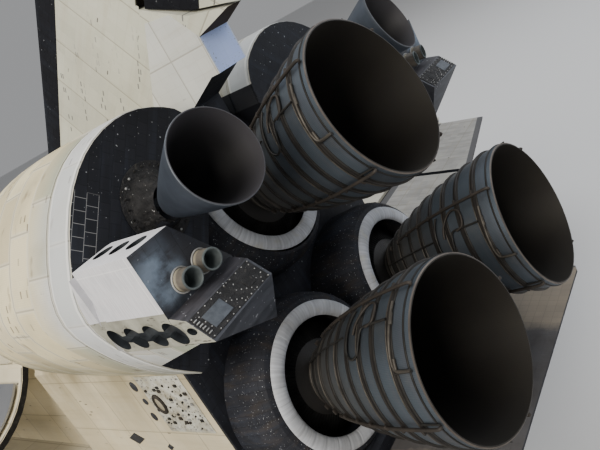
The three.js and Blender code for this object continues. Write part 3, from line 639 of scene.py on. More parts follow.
def two_tone(finish, dark, white, black, gloss=0.28):
    """Lays black tiles over white skin where a mask says so; each is a colour and a bump height."""
    tone = finish.mix(dark, white[0], black[0])
    height = white[1] + dark * (black[1] - white[1])
    return finish.done(tone, (height, 0.004, 0.6), 0.84 - dark * 0.16, gloss)


@skin()
def airframe_skin(finish):
    """White above, black tiles below and on the base, and darker in brown streaks just under the pods,
    painted shade with grime.
    """
    x, y, z, u, v, nz = flat_axes(finish)
    below = (nz < UNDERSIDE).most((z < BELLY_LINE) * (y > NOSE_END))
    half, front, bottom = FIN_FOOT
    foot = (z > bottom) * (y > front) * (abs(x) < half)
    base = ((z < BASE_TOP) * (y > BASE_FRONT)).most(foot)
    tone, height = white_skin(finish, u, v)
    run = finish.noise(finish.join(y * 1.6, z * 0.5), 1.0, 4)
    # Darker brown streaks just under the pods: painted shade from the pods, with grime
    pod_shade_and_grime = z.ramp(5.2, 6.75) * (y > 8.6) * run.ramp(0.30, 0.62)
    tone = tone.under(pod_shade_and_grime * 0.72, (0.21, 0.17, 0.085))
    return two_tone(finish, below.most(base), (tone, height), black_tiles(finish, u, v))


# Pods: lean of the deck under them, axis as x and z, rear rim, metres round the rim in one turn, the foot's
# outer edge and top, and length of one ring of blankets
POD_LEAN = math.radians(47.4)
POD_AXIS = (2.15, 8.35)
POD_REAR = 13.513
POD_GIRTH = 10.6
POD_FOOT = (1.6, 9.52)
POD_RING = 0.515


@skin()
def pod_skin(finish):
    """Quilted blankets in rings, and black tiles laid along the sloping deck on the face that looks aft."""
    x, y, z = finish.place()
    ny = finish.facing()[1]
    out = abs(x)
    along = out * math.cos(POD_LEAN) - z * math.sin(POD_LEAN)
    across = out * math.sin(POD_LEAN) + z * math.cos(POD_LEAN)
    patch = (across > 8.425) * (along.ramp(-5.13, -5.10)) * (along < -4.28)
    black = black_tiles(finish, across - 8.433, along, 0.16, patch * 0.75)
    around = finish.turn(out - POD_AXIS[0], z - POD_AXIS[1]) * POD_GIRTH
    depth = POD_REAR - y
    white = quilted(finish, around, depth)
    foot = (out < POD_FOOT[0]) * (z < POD_FOOT[1]) * (y > 11.6)
    rear = ((ny > 0.7) * (y > POD_REAR - 0.1)).most((y > POD_REAR + 0.02) * (out < 2.9))
    return two_tone(finish, rear.most(foot), white, black)


def quilted(finish, around, depth):
    """Blanket panels in rings, each with its own tint, a fine weave and raised seams."""
    ring = depth / POD_RING
    seam, number, edge = finish.grid(around + ring.floor() * 0.37, depth, 1.05, POD_RING, 0.016)
    stitch, stitch_edge = finish.grid(around, depth, 0.030, 0.030, 0.006)[::2]
    spread = finish.join(around, depth)
    aged = depth.ramp(0.50, 1.10)
    new = finish.mix(number.ramp(0.45, 0.90), (0.60, 0.62, 0.63), (0.36, 0.39, 0.31))
    old = finish.mix(number.ramp(0.1, 0.9), (0.92, 0.82, 0.53), (0.64, 0.56, 0.36))
    tone = finish.mix(aged, new, old)
    tone = tone.under(number.ramp(0.30, 0.05) * 0.4, (0.52, 0.46, 0.38))
    stain = finish.noise(spread, 1.1, 5)
    tone = tone.under(stain.ramp(0.44, 0.72) * 0.45, (0.34, 0.30, 0.20))
    smear = finish.noise(finish.join(around * 1.7, depth * 3.4), 1.0, 2).ramp(0.63, 0.72)
    tone = tone.under(smear * 0.70, (0.20, 0.145, 0.085))
    # Darker greenish patches over the pod's low side: a stain, and painted shade on the underside
    low = around.ramp(-0.55, -1.35) * (around > -3.4)
    tone = tone.coats(
        (low * stain.ramp(0.20, 0.55) * 0.65, (0.24, 0.235, 0.165)),
        (stitch * 0.12, (0.30, 0.28, 0.25)),
        (edge.ramp(0.055, 0.016) * 0.5, (0.72, 0.69, 0.60)),
        (seam * 0.55, (0.25, 0.22, 0.16)),
        (dashes(finish, around, depth, 0.15, 0.055, 0.07) * 0.75, (0.10, 0.07, 0.045)),
    )
    return tone, edge.ramp(0.0, 0.04) + stitch_edge.ramp(0.0, 0.013) * 0.18 + stain * 0.2


@skin(roughness=0.88)
def rim_quilt(finish):
    """The bright blanket strips at the pods' rear rims, edged with a brighter seam."""
    x, y, z = finish.place()
    around = finish.turn(abs(x) - POD_AXIS[0], z - POD_AXIS[1]) * POD_GIRTH
    depth = POD_REAR - y
    tone, height = quilted(finish, around, depth)
    tone = tone.under((depth < 0.50) * around.ramp(-1.3, -0.8) * 0.50, (0.62, 0.64, 0.67))
    foot = (abs(x) < POD_FOOT[0]) * (z < POD_FOOT[1])
    border = (abs(depth - 0.055) < 0.022).most(abs(depth - 0.465) < 0.018)
    tone = tone.under(border * 0.7, (0.80, 0.80, 0.78))
    tone = tone.under(foot, tuple(shades().black))
    return finish.done(tone, (height, 0.004, 0.6))


@cache
def dome_tiles(number):
    """Black tiles laid in rings round one engine's dome, browned and flecked with white."""
    finish = Finish(f"dome_tiles_{number}")
    x, y, z = finish.local(ring_frame(number))
    reach = (x * x + z * z).root()
    around = finish.turn(x, z) * 8.2
    tone, height = black_tiles(finish, around, y - reach, 0.15)
    spread = finish.join(around, y - reach)
    rust = finish.noise(finish.join(around * 6.0, (y - reach) * 1.5), 1.0, 4).ramp(0.50, 0.75)
    haze = finish.noise(spread, 1.6, 4).ramp(0.46, 0.66)
    tone = tone.under(haze * 0.20, (0.046, 0.048, 0.062))
    tone = tone.under(rust * 0.55, (0.056, 0.042, 0.030))
    fleck = finish.noise(spread, 30.0, 1).ramp(0.69, 0.75)
    tone = tone.under(fleck * 0.6, (0.40, 0.42, 0.45))
    return finish.done(tone, (height, 0.004, 0.6), rough=0.70, gloss=0.25)


@cache
def fin_skin():
    """The fin's tiles, with a black leading edge."""
    return tail_tiles("fin_skin", 0)


@cache
def rudder_skin():
    """The rudder's tiles, with a black patch at its foot."""
    return tail_tiles("rudder_skin", 1)


# Direction of the tile rows on the fin and of the rudder's hinge, as y and z
TILE_ROWS = (0.60, 0.80)
RUDDER_HINGE = (0.571, 0.821)


def tail_tiles(name, footed):
    """Pale tiles whose seams run square to the fin's leading edge, with worn dashes."""
    finish = Finish(name)
    y, z = finish.place()[1:]
    nz = finish.facing()[2]
    square = y * TILE_ROWS[0] - z * TILE_ROWS[1]
    lengthways = y * TILE_ROWS[1] + z * TILE_ROWS[0]
    hinge = y * RUDDER_HINGE[0] + z * RUDDER_HINGE[1]
    tone, height = white_skin(finish, lengthways, square, (0.75, 2.9), (0.52, 0.52, 0.43))
    off_hinge = y * RUDDER_HINGE[1] - z * RUDDER_HINGE[0]
    worn = finish.noise(finish.join(lengthways, square), 0.45, 2).ramp(0.40, 0.50)
    rows = ((off_hinge / 0.47).fraction() < 0.26) * worn
    column, row = hinge / 0.13, off_hinge / 0.045
    cell = (column.off_middle() < 0.33) * (row.off_middle() < 0.28)
    marks = (finish.chance(column, row, 5.0) > 0.70) * cell
    tone = tone.under(marks * rows * 0.75, (0.09, 0.09, 0.10))
    under = (nz < -0.5) * (y > 12.6)
    if footed:
        dark = (hinge < 17.26) * (off_hinge < 5.42)
    else:
        dark = (y - z + 1.346) < (0.645 + (z - 10.02) * 0.068)
    black, black_height = black_tiles(finish, lengthways, square)
    # The tail's black tiles are painted darker than the others: painted shade on the fin's leading edge
    black = black.under(0.6, (0.006, 0.006, 0.007))
    black = black.under(under, (0.055, 0.042, 0.034))
    return two_tone(finish, dark.most(under), (tone, height), (black, black_height), 0.08)


# Height of the middle of the drag chute's door
CHUTE_MIDDLE = 10.236


@skin()
def chute_skin(finish):
    """Pale blue tiles on the face that looks aft, white sides and a dark underside."""
    x, y, z, u, v, nz = flat_axes(finish)
    rear = rear_faces(finish)
    tone, height = white_skin(finish, u, v, (0.7, 0.8), (0.60, 0.61, 0.58))
    gap, number = finish.grid(x, z, 0.114, 0.112, 0.003)[:2]
    rim = (abs(x) > 0.24).most(abs(z - CHUTE_MIDDLE) > 0.19)
    dots = finish.noise(finish.join(x, z), 34.0, 1).ramp(0.66, 0.70) * rim
    door = finish.mix(number * 0.2, tuple(shades().chute), tuned(shades().chute, 1.15))
    door = door.under((abs(x) > 0.318) * 0.7, (0.66, 0.70, 0.80))
    door = door.under((gap * 0.08).most(dots * 0.8), (0.12, 0.13, 0.18))
    tone = tone.under((y > 13.99) * rear, door)
    dark = (nz < -0.4).most((y < 13.9) * rear * (z < 9.97))
    return two_tone(finish, dark, (tone, height), black_tiles(finish, u, v))


@skin()
def flap_skin(finish):
    """Worn tan tiles on top with a painted blue-grey shadow of the bells across the middle, dark edges and
    black tiles below.
    """
    x, y = finish.place()[:2]
    nz = finish.facing()[2]
    gap, number, edge = finish.grid(x, y, 0.155, 0.155, 0.004)
    spread = finish.join(x, y)
    worn = finish.noise(spread, 1.7, 5)
    tone = finish.mix(number * 0.4, tuple(shades().tan), tuned(shades().tan, 1.2))
    tone = tone.under(worn.ramp(0.40, 0.72) * 0.45, (0.17, 0.15, 0.13))
    tone = tone.under(gap * 0.35, (0.08, 0.07, 0.06))
    # The middle of the flap gets a painted blue-grey shadow of the bells; soot is that shadow's colour,
    # patchy with wear
    soot = finish.mix(worn.ramp(0.42, 0.62), (0.044, 0.047, 0.058), (0.085, 0.088, 0.102))
    bell_shadow_middle = (abs(x) + worn * 0.8).ramp(1.95, 1.75)
    tone = tone.under(bell_shadow_middle * 0.80, soot)
    tone = tone.under((abs(x) > 3.19) * 0.85, (0.075, 0.075, 0.08))
    return two_tone(finish, nz < 0.5, (tone, edge.ramp(0.0, 0.006)), black_tiles(finish, x, y))


# Crew hatch on the nose: centre as y and z, and radii of its two seams
HATCH = (-12.15, 5.75)
HATCH_SEAMS = (0.53, 0.63)


@skin()
def nose_skin(finish):
    """White upper nose, black tiles below and round the windows, a hatch seam and worn marks."""
    x, y, z, u, v, nz = flat_axes(finish)
    line = BELLY_LINE + (-13.6 - y).ramp(0.0, 4.6) * 1.45
    below = (z < line).most(nz < UNDERSIDE)
    brow = (y > -14.25) * (y < -12.62) * (z > 7.28 + (y + 14.25) * 0.22) * (abs(x) < 1.97)
    tone, height = white_skin(finish, u, v, (0.82, 0.82))
    along, up = y - HATCH[0], z - HATCH[1]
    reach = (along * along + up * up).root()
    seam, outer_seam = (abs(reach - radius) for radius in HATCH_SEAMS)
    hatch = (seam < 0.013).most(outer_seam < 0.005) * (x > 1.2)
    tone = tone.under(hatch * 0.85, (0.05, 0.05, 0.05))
    return two_tone(finish, below.most(brow), (tone, height), black_tiles(finish, u, v))


@skin()
def bay_skin(finish):
    """Mid body: white outside, black below and a pale grey-green liner inside the bay."""
    x, y, z, u, v, nz = flat_axes(finish)
    inside = (abs(x) < 2.40) * (z < 7.10) * (z > 4.10)
    below = ((nz < UNDERSIDE).most(z < BELLY_LINE)) * (1 - inside)
    tone, height = white_skin(finish, u, v, (1.10, 0.95))
    gap, number = finish.grid(y, v + x * 0.7, 0.60, 0.45, 0.012)[:2]
    liner = finish.mix(number * 0.5, (0.50, 0.52, 0.49), (0.40, 0.42, 0.40))
    liner = liner.under(gap * 0.5, (0.16, 0.17, 0.16))
    tone = tone.under(inside, liner)
    return two_tone(finish, below, (tone, height), black_tiles(finish, u, v))


# Leading edges of the wing's glove and outer wing: x and y of the root, slope, and length of a step of 1 out;
# depth of the carbon behind them and width of one carbon panel
LEADING_EDGES = ((2.69, -11.5, 6.2, 6.28), (4.775, 1.372, 1, 1.414))
CARBON_DEPTH = 0.30
CARBON_PANEL = 0.62


@skin()
def wing_skin(finish):
    """White upper wing, black belly and grey carbon panels along the leading edge."""
    x, y = finish.place()[:2]
    nz = finish.facing()[2]
    out = abs(x)
    glove, outer = ((y - front - (out - root) * slope) / step for root, front, slope, step in LEADING_EDGES)
    carbon = glove.most(outer) < CARBON_DEPTH
    panel = (y * 0.707 + out * 0.707) / CARBON_PANEL
    gap = ((0.5 - panel.off_middle()) * CARBON_PANEL).ramp(0.010, 0.005)
    grey = finish.mix(finish.chance(panel) * 0.5, (0.085, 0.085, 0.088), (0.13, 0.13, 0.132))
    grey = grey.under(gap, (0.015, 0.015, 0.016))
    tone, height = white_skin(finish, y, x, (1.05, 0.92), (0.58, 0.55, 0.46))
    scorch = finish.noise(finish.join(x * 1.4, y * 0.35), 1.0, 5)
    tone = tone.under(scorch.ramp(0.46, 0.72) * 0.4, (0.24, 0.22, 0.19))
    tone = tone.under(carbon, grey)
    black, black_height = black_tiles(finish, x, y)
    black = black.under(carbon, grey)
    return two_tone(finish, nz < -0.15, (tone, height), (black, black_height))


@skin()
def elevon_skin(finish):
    """Grey-white elevons with a dark hinge strip, dark trailing edge and black underside."""
    x, y = finish.place()[:2]
    nx, nz = finish.facing()[::2]
    out = abs(x)
    trail = 13.589 - (out - 3.10) * 0.1707
    tone, height = white_skin(finish, x, y, (0.80, 0.70), (0.28, 0.275, 0.262))
    streak = finish.noise(finish.join(x * 5.0, y * 0.7), 1.0, 4)
    tone = tone.under(streak.ramp(0.44, 0.70) * 0.55, (0.20, 0.19, 0.18))
    tone = tone.under((y > trail - 0.16).most(y < 10.80) * 0.9, (0.07, 0.07, 0.075))
    return two_tone(finish, (nz < -0.15).most(abs(nx) > 0.8), (tone, height), black_tiles(finish, x, y))


@skin(roughness=0.06)
def window_glass(finish):
    """Dark, glossy outer panes."""
    return finish.done(tuple(shades().glass))


@skin()
def gear_door_skin(finish):
    """Gear doors: black tiles on the side that faces out when open, pale paint inside."""
    x, y, z = finish.place()
    nx = finish.facing()[0]
    rib = ((y / 0.42).fraction() < 0.06).most((z / 0.52).fraction() < 0.05)
    pale = finish.mix(rib, (0.50, 0.51, 0.47), (0.24, 0.25, 0.23))
    return two_tone(finish, (nx * x) > 0.02, (pale, rib), black_tiles(finish, y, z))


@skin()
def door_skin(finish):
    """Payload doors: cream outside, pale grey liner inside, dark ends."""
    x, y, z = finish.place()
    tone, height = white_skin(finish, y, x, (1.83, 1.2))
    dark = finish.noise(finish.join(x, z), 9.0, 3)
    ends = finish.mix(dark.ramp(0.5, 0.8), (0.008, 0.008, 0.009), (0.05, 0.046, 0.04))
    return two_tone(finish, rear_faces(finish), (tone, height), (ends, dark))


@skin(metallic=0.78)
def bell_steel(finish):
    """Heat-tinted tube wall: fine tubes along the bell, faint rings of colour, browner towards the throat and
    near black at the neck, painted shade where the bell goes into the dome ring.
    """
    palette = shades()
    turn, distance = finish.wrap()
    tube = (turn * 360).off_middle() * 2
    patch = finish.noise(finish.join(turn * 9, distance * 1.1), 1.0, 4)
    ring = finish.noise(finish.join(turn * 2.0, distance * 9.0), 1.0, 3)
    tone = finish.mix(patch.ramp(0.35, 0.7) * 0.8, palette.steel, (0.115, 0.15, 0.185))
    tone = tone.coats(
        (ring.ramp(0.5, 0.75) * 0.30, (0.19, 0.165, 0.19)),
        (patch.ramp(0.42, 0.25) * 0.55, (0.24, 0.25, 0.24)),
        (distance.ramp(3.0, 1.9) * 0.6, (0.13, 0.115, 0.09)),
        # Near black at the neck: painted shade where the bell goes into the dome ring
        (distance.ramp(1.85, 1.40) * 0.9, (0.018, 0.016, 0.015)),
        (tube.ramp(0.25, 0.0) * 0.5, tuned(palette.steel, 0.35)),
    )
    return finish.done(tone, (tube, 0.0016, 0.6), rough=0.40 + patch * 0.22)


@skin(metallic=0.35)
def bell_inside(finish):
    """Dark brown tubes that turn black towards the throat, painted shade deep inside the bell."""
    turn, distance = finish.wrap()
    tube = (turn * 300).off_middle() * 2
    cloud = finish.noise(finish.join(turn * 7, distance * 0.8), 1.0, 4)
    # Black deeper in: painted shade inside the bell
    tone = finish.mix(distance.ramp(3.9, 1.6), tuned(shades().soot, 0.6), (0.006, 0.005, 0.006))
    tone = tone.under(cloud.ramp(0.4, 0.7) * 0.30, (0.030, 0.028, 0.019))
    tone = tone.under(tube.ramp(0.3, 0.0) * 0.6, (0.004, 0.004, 0.004))
    return finish.done(tone, (tube, 0.0012, 0.5), rough=0.52 + cloud * 0.15)


# Metals and paints that vary in soft patches: a colour or a setting's name, the patches' colour or how much
# lighter or darker they are, how metallic and how rough they are, and how fine the patches
METALS = {
    "carbon_skin": ("carbon", 1.5, 0.0, 0.55, 2.0),
    "gear_paint": ("gear", 0.72, 0.1, 0.42, 3.0),
    "gear_chrome": ((0.55, 0.56, 0.58), (0.42, 0.42, 0.44), 1.0, 0.16, 4.0),
    "tyre_rubber": ("tyre", (0.05, 0.048, 0.045), 0.0, 0.72, 3.0),
    "band_bronze": ("bronze", (0.016, 0.014, 0.013), 0.4, 0.50, 5.0),
    "rim_metal": ("rim", (0.085, 0.07, 0.06), 0.5, 0.44, 3.0),
    "pipe_metal": ((0.090, 0.080, 0.067), (0.034, 0.029, 0.024), 0.5, 0.44, 6.0),
    "brown_pipe": ("brown", (0.024, 0.020, 0.017), 0.4, 0.52, 5.0),
    "dark_pipe": ((0.035, 0.033, 0.03), (0.015, 0.014, 0.013), 0.5, 0.45, 6.0),
    "port_black": ("port", (0.040, 0.048, 0.056), 0.2, 0.40, 7.0),
    "tube_grey": ((0.105, 0.125, 0.125), (0.050, 0.060, 0.064), 0.10, 0.50, 6.0),
    "plate_blue": ((0.085, 0.097, 0.115), (0.040, 0.047, 0.058), 0.2, 0.50, 9.0),
    "bright_stud": ((0.46, 0.46, 0.45), (0.16, 0.16, 0.16), 0.2, 0.45, 5.0),
    "seal_rubber": ((0.46, 0.44, 0.36), (0.25, 0.23, 0.18), 0.0, 0.6, 6.0),
    "bay_metal": ((0.30, 0.31, 0.17), (0.20, 0.20, 0.12), 0.3, 0.45, 4.0),
    "hose_black": ((0.02, 0.02, 0.02), (0.04, 0.04, 0.04), 0.0, 0.5, 8.0),
}

# How many times finer than the patches a metal's grain is
GRAIN = 14


@cache
def metal(name):
    """One of the metals and paints."""
    shade, patched, metallic, rough, scale = METALS[name]
    shade = getattr(shades(), shade) if isinstance(shade, str) else shade
    patched = tuned(shade, patched) if isinstance(patched, float) else patched
    finish = Finish(name, metallic=metallic)
    patch = finish.noise(finish.spread(), scale, 5)
    grain = finish.noise(finish.spread(), scale * GRAIN, 2)
    tone = finish.mix(patch.ramp(0.35, 0.68), shade, patched)
    return finish.done(tone, (grain, 0.001, 0.35), rough + patch * 0.2)


@skin(metallic=0.55)
def orbital_steel(finish):
    """Smooth coated metal with a cold blue cast."""
    turn, distance = finish.wrap()
    cloud = finish.noise(finish.join(turn * 5, distance * 2.4), 1.0, 4)
    ring = finish.noise(finish.join(turn, distance * 30), 1.0, 2)
    tone = finish.mix(cloud.ramp(0.35, 0.7), (0.074, 0.090, 0.118), (0.045, 0.055, 0.072))
    tone = tone.under(distance.ramp(1.36, 1.418) * 0.6, (0.12, 0.13, 0.145))
    return finish.done(tone, (ring, 0.001, 0.25), rough=0.42 + cloud * 0.2)


@skin(metallic=0.2)
def orbital_inside(finish):
    """Paler at the lip and black deeper in, painted shade inside the bell."""
    turn, distance = finish.wrap()
    cloud = finish.noise(finish.join(turn * 4, distance * 3), 1.0, 4)
    # Black deeper in: painted shade inside the bell
    tone = finish.mix(distance.ramp(1.05, 1.40), (0.004, 0.004, 0.005), (0.045, 0.043, 0.05))
    tone = tone.under(cloud.ramp(0.4, 0.7) * 0.4, (0.02, 0.018, 0.02))
    return finish.done(tone, (cloud, 0.002, 0.3), rough=0.5 + cloud * 0.15)


@skin(roughness=0.92)
def quilt(finish):
    """Pale grey quilted blanket with stitching, seams and soot."""
    spread = finish.spread()
    turn, distance = finish.wrap()
    seam = (turn * 28).off_middle() * 2
    soot = finish.noise(spread, 2.2, 5)
    fibre = finish.noise(spread, 55.0, 2)
    thread = finish.noise(finish.join(turn * 160, distance * 1.5), 1.0, 3)
    tone = finish.mix(thread.ramp(0.38, 0.66) * 0.60, (0.56, 0.58, 0.62), (0.31, 0.32, 0.36))
    tone = tone.coats(
        (soot.ramp(0.42, 0.7) * 0.6, (0.22, 0.22, 0.22)),
        (finish.noise(spread, 3.6, 3).ramp(0.56, 0.70) * 0.35, (0.48, 0.45, 0.34)),
        (seam.ramp(0.06, 0.0) * 0.35, (0.16, 0.16, 0.16)),
    )
    return finish.done(tone, (seam.ramp(0.0, 0.25) + fibre * 0.25, 0.006, 0.7))


# Engines, with the pitch and yaw of each at rest in degrees

MAIN_ENGINES = {"1": (16.5, 0.0), "2": (10.6, -3.27), "3": (10.6, 3.27)}
ORBITAL_ENGINES = {"left": (17.15, -7.95), "right": (17.15, 7.95)}


def engine_frame(joint_name, pitch, yaw):
    """Frame whose +Y runs from an engine's gimbal to its exit."""
    gimbal = Vector(JOINTS[joint_name]["pos_m"])
    turn = spun(yaw, "Z") @ spun(pitch, "X")
    return Matrix.Translation(gimbal) @ turn


def bell_curve(start, finish, start_degrees, finish_degrees, steps):
    """Points of a smooth flare between two (radius, distance) ends with the given slopes."""
    slope_in = math.tan(math.radians(start_degrees))
    slope_out = math.tan(math.radians(finish_degrees))
    (start_r, start_s), (finish_r, finish_s) = start, finish
    knee_s = (finish_r - slope_out * finish_s - start_r + slope_in * start_s) / (slope_in - slope_out)
    knee = Vector((start_r + slope_in * (knee_s - start_s), knee_s))
    ends = Vector(start), Vector(finish)
    shares = [step / steps for step in range(steps + 1)]
    return [ends[0] * (1 - t) ** 2 + knee * 2 * t * (1 - t) + ends[1] * t * t for t in shares]


def radius_at(curve, distance):
    """Radius of a bell curve at a distance along its axis."""
    for low, high in zip(curve, curve[1:]):
        if low.y <= distance <= high.y:
            return low.x + (high.x - low.x) * (distance - low.y) / (high.y - low.y)
    return curve[-1].x


# Dome rings: distance from the gimbal to the ring's rear and the dome's pitch
RINGS = {"1": (1.257, 20.2), "2": (1.396, 10.6), "3": (1.396, 10.6)}


def ring_frame(number):
    """Frame of the dome round one main engine."""
    return engine_frame(f"main_engine_{number}_pitch", RINGS[number][1], MAIN_ENGINES[number][1])


# Main bells: faces round a bell, throat as radius and distance, radii of the stand-in pump and the shield
BELL_STEPS = 144
THROAT = (0.130, 0.960)
POWERHEAD_RADIUS = 0.48
SHIELD_RADIUS = 1.30

# Main bell bands from the exit inwards: distance from the gimbal along the axis
BAND_PLACES = (3.65, 3.31, 3.03, 2.73, 2.45, 2.16, 1.88, 1.64, 1.44, 1.29)

# Pipes on a main bell: finish, radius, height over the wall, and the route's corners, each a turn in degrees,
# a distance and sometimes a further height
STUBS = [
    ("dark_pipe", 0.014, 0.020, ((turn, 3.94), (turn, 3.80), (turn, 3.66))) for turn in (1, -31, 120, 264)
]
DRAINS = [
    ("brown_pipe", 0.024, 0.060, ((turn, 3.93, -0.055), (turn, 3.89, -0.01), *rest)) for turn, rest in (
        (-33, ((-33.5, 3.55), (-35, 2.95), (-36, 2.45), (-37, 1.98))),
        (51, ((51.5, 3.50), (53, 2.90), (54, 2.40), (55, 1.95))),
        (146, ((147, 3.2), (149, 2.5), (150, 1.95))),
        (238, ((237, 3.2), (236, 2.5), (235, 1.95))),
    )
]
BELL_PIPES = (
    *STUBS,
    *DRAINS,
    ("dark_pipe", 0.016, 0.036, ((32, 3.62), (32.5, 3.40), (33, 3.18), (31, 3.11), (25, 3.08), (17, 3.04),
                                 (14, 2.95), (14.5, 2.87), (19, 2.80), (30, 2.79), (40, 2.81), (50, 2.87))),
    ("brown_pipe", 0.018, 0.040, ((32, 3.22), (34, 3.34), (40, 3.37), (46, 3.34), (49, 3.22), (46, 3.10),
                                  (38, 2.99), (30, 2.95))),
    ("dark_pipe", 0.014, 0.042, ((31.5, 2.69), (31.5, 2.20), (31.5, 1.80), (31.5, 1.45))),
    ("dark_pipe", 0.014, 0.040, ((205, 3.62), (205, 3.1), (205, 2.4), (205, 1.5))),
    ("pipe_metal", 0.020, 0.030, ((42, 3.70), (30, 3.69), (18, 3.67), (8, 3.66), (3, 3.69), (1.8, 3.78),
                                  (1.6, 3.93))),
)

# Turns at which the drain pipes are clipped and to how many bands; the bars by the first band, as from and to
CLIP_TURNS = {-35: 8, 53: 8, 148: 8, 237: 8}
LIGHT_BARS = ((28, 35), (3, 9), (172, 179))


def main_bell_inside():
    """Points of a main bell's inside, from its throat to its exit."""
    sizes = bpy.context.scene.orbiter_sizes
    exit_point = (sizes.bell_exit - 0.040, sizes.bell_length)
    return bell_curve(THROAT, exit_point, 37, 5.4, 30)


def main_bell_outside():
    """Points of a main bell's outside beside those of its inside."""
    wall = bpy.context.scene.orbiter_sizes.bell_wall
    return [Vector((point.x + wall, point.y)) for point in main_bell_inside()]


def main_bell():
    """One main bell in its own frame: tube wall, rolled rim, inside and the heat shield at its neck."""
    sizes = bpy.context.scene.orbiter_sizes
    inside = main_bell_inside()
    outside = [tuple(point) for point in main_bell_outside()[4:]]
    shield = [(SHIELD_RADIUS, degrees) for degrees in (26, 31, 37, 43)]
    shield = [(SHIELD_RADIUS - 0.03, degrees) for degrees in (43, 37, 31, 24)][::-1] + shield[::-1]
    neck = [(r * math.sin(math.radians(d)), r * math.cos(math.radians(d))) for r, d in shield]
    head = [(0, 0.26), (POWERHEAD_RADIUS, 0.26), (POWERHEAD_RADIUS, 0.90)]
    lip = [(sizes.bell_exit - 0.006, sizes.bell_length - 0.012), (sizes.bell_exit - 0.024, sizes.bell_length)]
    profile = head + neck + outside[:-1] + lip + [tuple(point) for point in inside[::-1]] + [(0, THROAT[1])]
    bell = wrapped(turned("main_bell", profile, BELL_STEPS))
    painted(bell, bell_steel(), bell_inside(), "rim_metal", soot_cloth())
    inside_slot, rim_slot, shield_slot = 1, 2, 3
    middle = [Vector((point.x + sizes.bell_wall * 0.5, point.y)) for point in inside]

    def within(centre, normal):
        return centre.y > THROAT[1] - 0.01 and math.hypot(centre.x, centre.z) < radius_at(middle, centre.y)

    def shielding(centre, normal):
        spread = math.degrees(centre.angle(Vector((0, 1, 0))))
        return spread > 24.5 and abs(centre.length - SHIELD_RADIUS + 0.015) < 0.035

    paint_faces(bell, rim_slot, lambda centre, normal: centre.y > sizes.bell_length - 0.06)
    paint_faces(bell, shield_slot, shielding)
    paint_faces(bell, inside_slot, within)
    return bell


def on_bell(curve, degrees, distance, lift=0.0):
    """A point on or over a bell's outside, at a turn and a distance along its axis."""
    turn = math.radians(degrees)
    radius = radius_at(curve, distance) + lift
    return Vector((radius * math.cos(turn), distance, radius * math.sin(turn)))


def bell_place(curve, degrees, distance, lift=0.0):
    """A place on a bell's outside whose z looks outwards and whose y runs to the exit."""
    turn = spun(90 - degrees, "Y")
    return Matrix.Translation(on_bell(curve, degrees, distance, lift)) @ turn


def bell_ring(curve, distance, half, height, finish):
    """One raised ring round a bell, bevelled at its edges."""
    low, high = (radius_at(curve, distance + step) for step in (-half, half))
    ring = [
        (low - 0.004, distance - half), (low + height * 0.6, distance - half * 0.94),
        (low + height, distance - half * 0.6), (high + height, distance + half * 0.6),
        (high + height * 0.6, distance + half * 0.94), (high - 0.004, distance + half),
        (low - 0.004, distance - half),
    ]
    return painted(turned("band", ring, 112, 40), finish)


def main_bell_bands():
    """The bands round one main bell: a dark saddle, a bronze hat and a thin pipe beside it."""
    curve = main_bell_outside()
    rim = bpy.context.scene.orbiter_sizes.bell_length
    made = [bell_ring(curve, rim - 0.085, 0.014, 0.010, "dark_pipe")]
    for number, distance in enumerate(BAND_PLACES):
        size = 1 - 0.045 * number
        made.append(bell_ring(curve, distance, 0.056 * size, 0.014 * size, "dark_pipe"))
        made.append(bell_ring(curve, distance + 0.006, 0.024 * size, 0.036 * size, "band_bronze"))
        if number % 2 == 0:
            route = [on_bell(curve, step * 5, distance - 0.040 * size, 0.020) for step in range(73)]
            made.append(painted(piped("tube", route, 0.009), "pipe_metal"))
    return joined(made, "main_bell_bands")


def main_bell_pipes():
    """The pipes, clips and bars on one main bell."""
    curve = main_bell_outside()
    made = []
    for finish, radius, lift, corners in BELL_PIPES:
        corners = [(*corner, 0)[:3] for corner in corners]
        route = [on_bell(curve, turn, place, lift + more) for turn, place, more in smooth_route(corners)]
        made.append(painted(piped("pipe", route, radius, 2), finish))
    for turn, count in CLIP_TURNS.items():
        for distance in BAND_PLACES[:count]:
            place = bell_place(curve, turn + (BAND_PLACES[0] - distance) * 0.6, distance, 0.030)
            made.append(painted(plate("clip", (0.080, 0.034, 0.052), place, 0.009), "brown_pipe"))
    for start, stop in LIGHT_BARS:
        route = [on_bell(curve, start + (stop - start) * step / 6, 3.70, 0.020) for step in range(7)]
        made.append(painted(piped("bar", route, 0.021, 2), "pipe_metal"))
    return joined(made, "main_bell_pipes")


def orbital_bell():
    """One orbital bell in its own frame."""
    sizes = bpy.context.scene.orbiter_sizes
    exit_radius, reach, wall = sizes.orbital_exit, sizes.orbital_length, sizes.orbital_wall
    outside = bell_curve((0.240, 0.150), (exit_radius, reach - 0.01), 19, 13, 22)
    inside = bell_curve((0.075, 0.420), (exit_radius - wall, reach), 34, 9, 22)
    profile = [(0, 0.150)] + [tuple(point) for point in outside] + [(exit_radius - wall * 0.4, reach)]
    profile += [tuple(point) for point in inside[::-1]] + [(0, 0.420)]
    bell = wrapped(turned("orbital_bell", profile, 120))
    painted(bell, orbital_steel(), orbital_inside())
    middle = [Vector((point.x + wall * 0.5, point.y)) for point in inside]

    def within(centre, normal):
        return centre.y > 0.41 and math.hypot(centre.x, centre.z) < radius_at(middle, centre.y)

    return paint_faces(bell, 1, within)


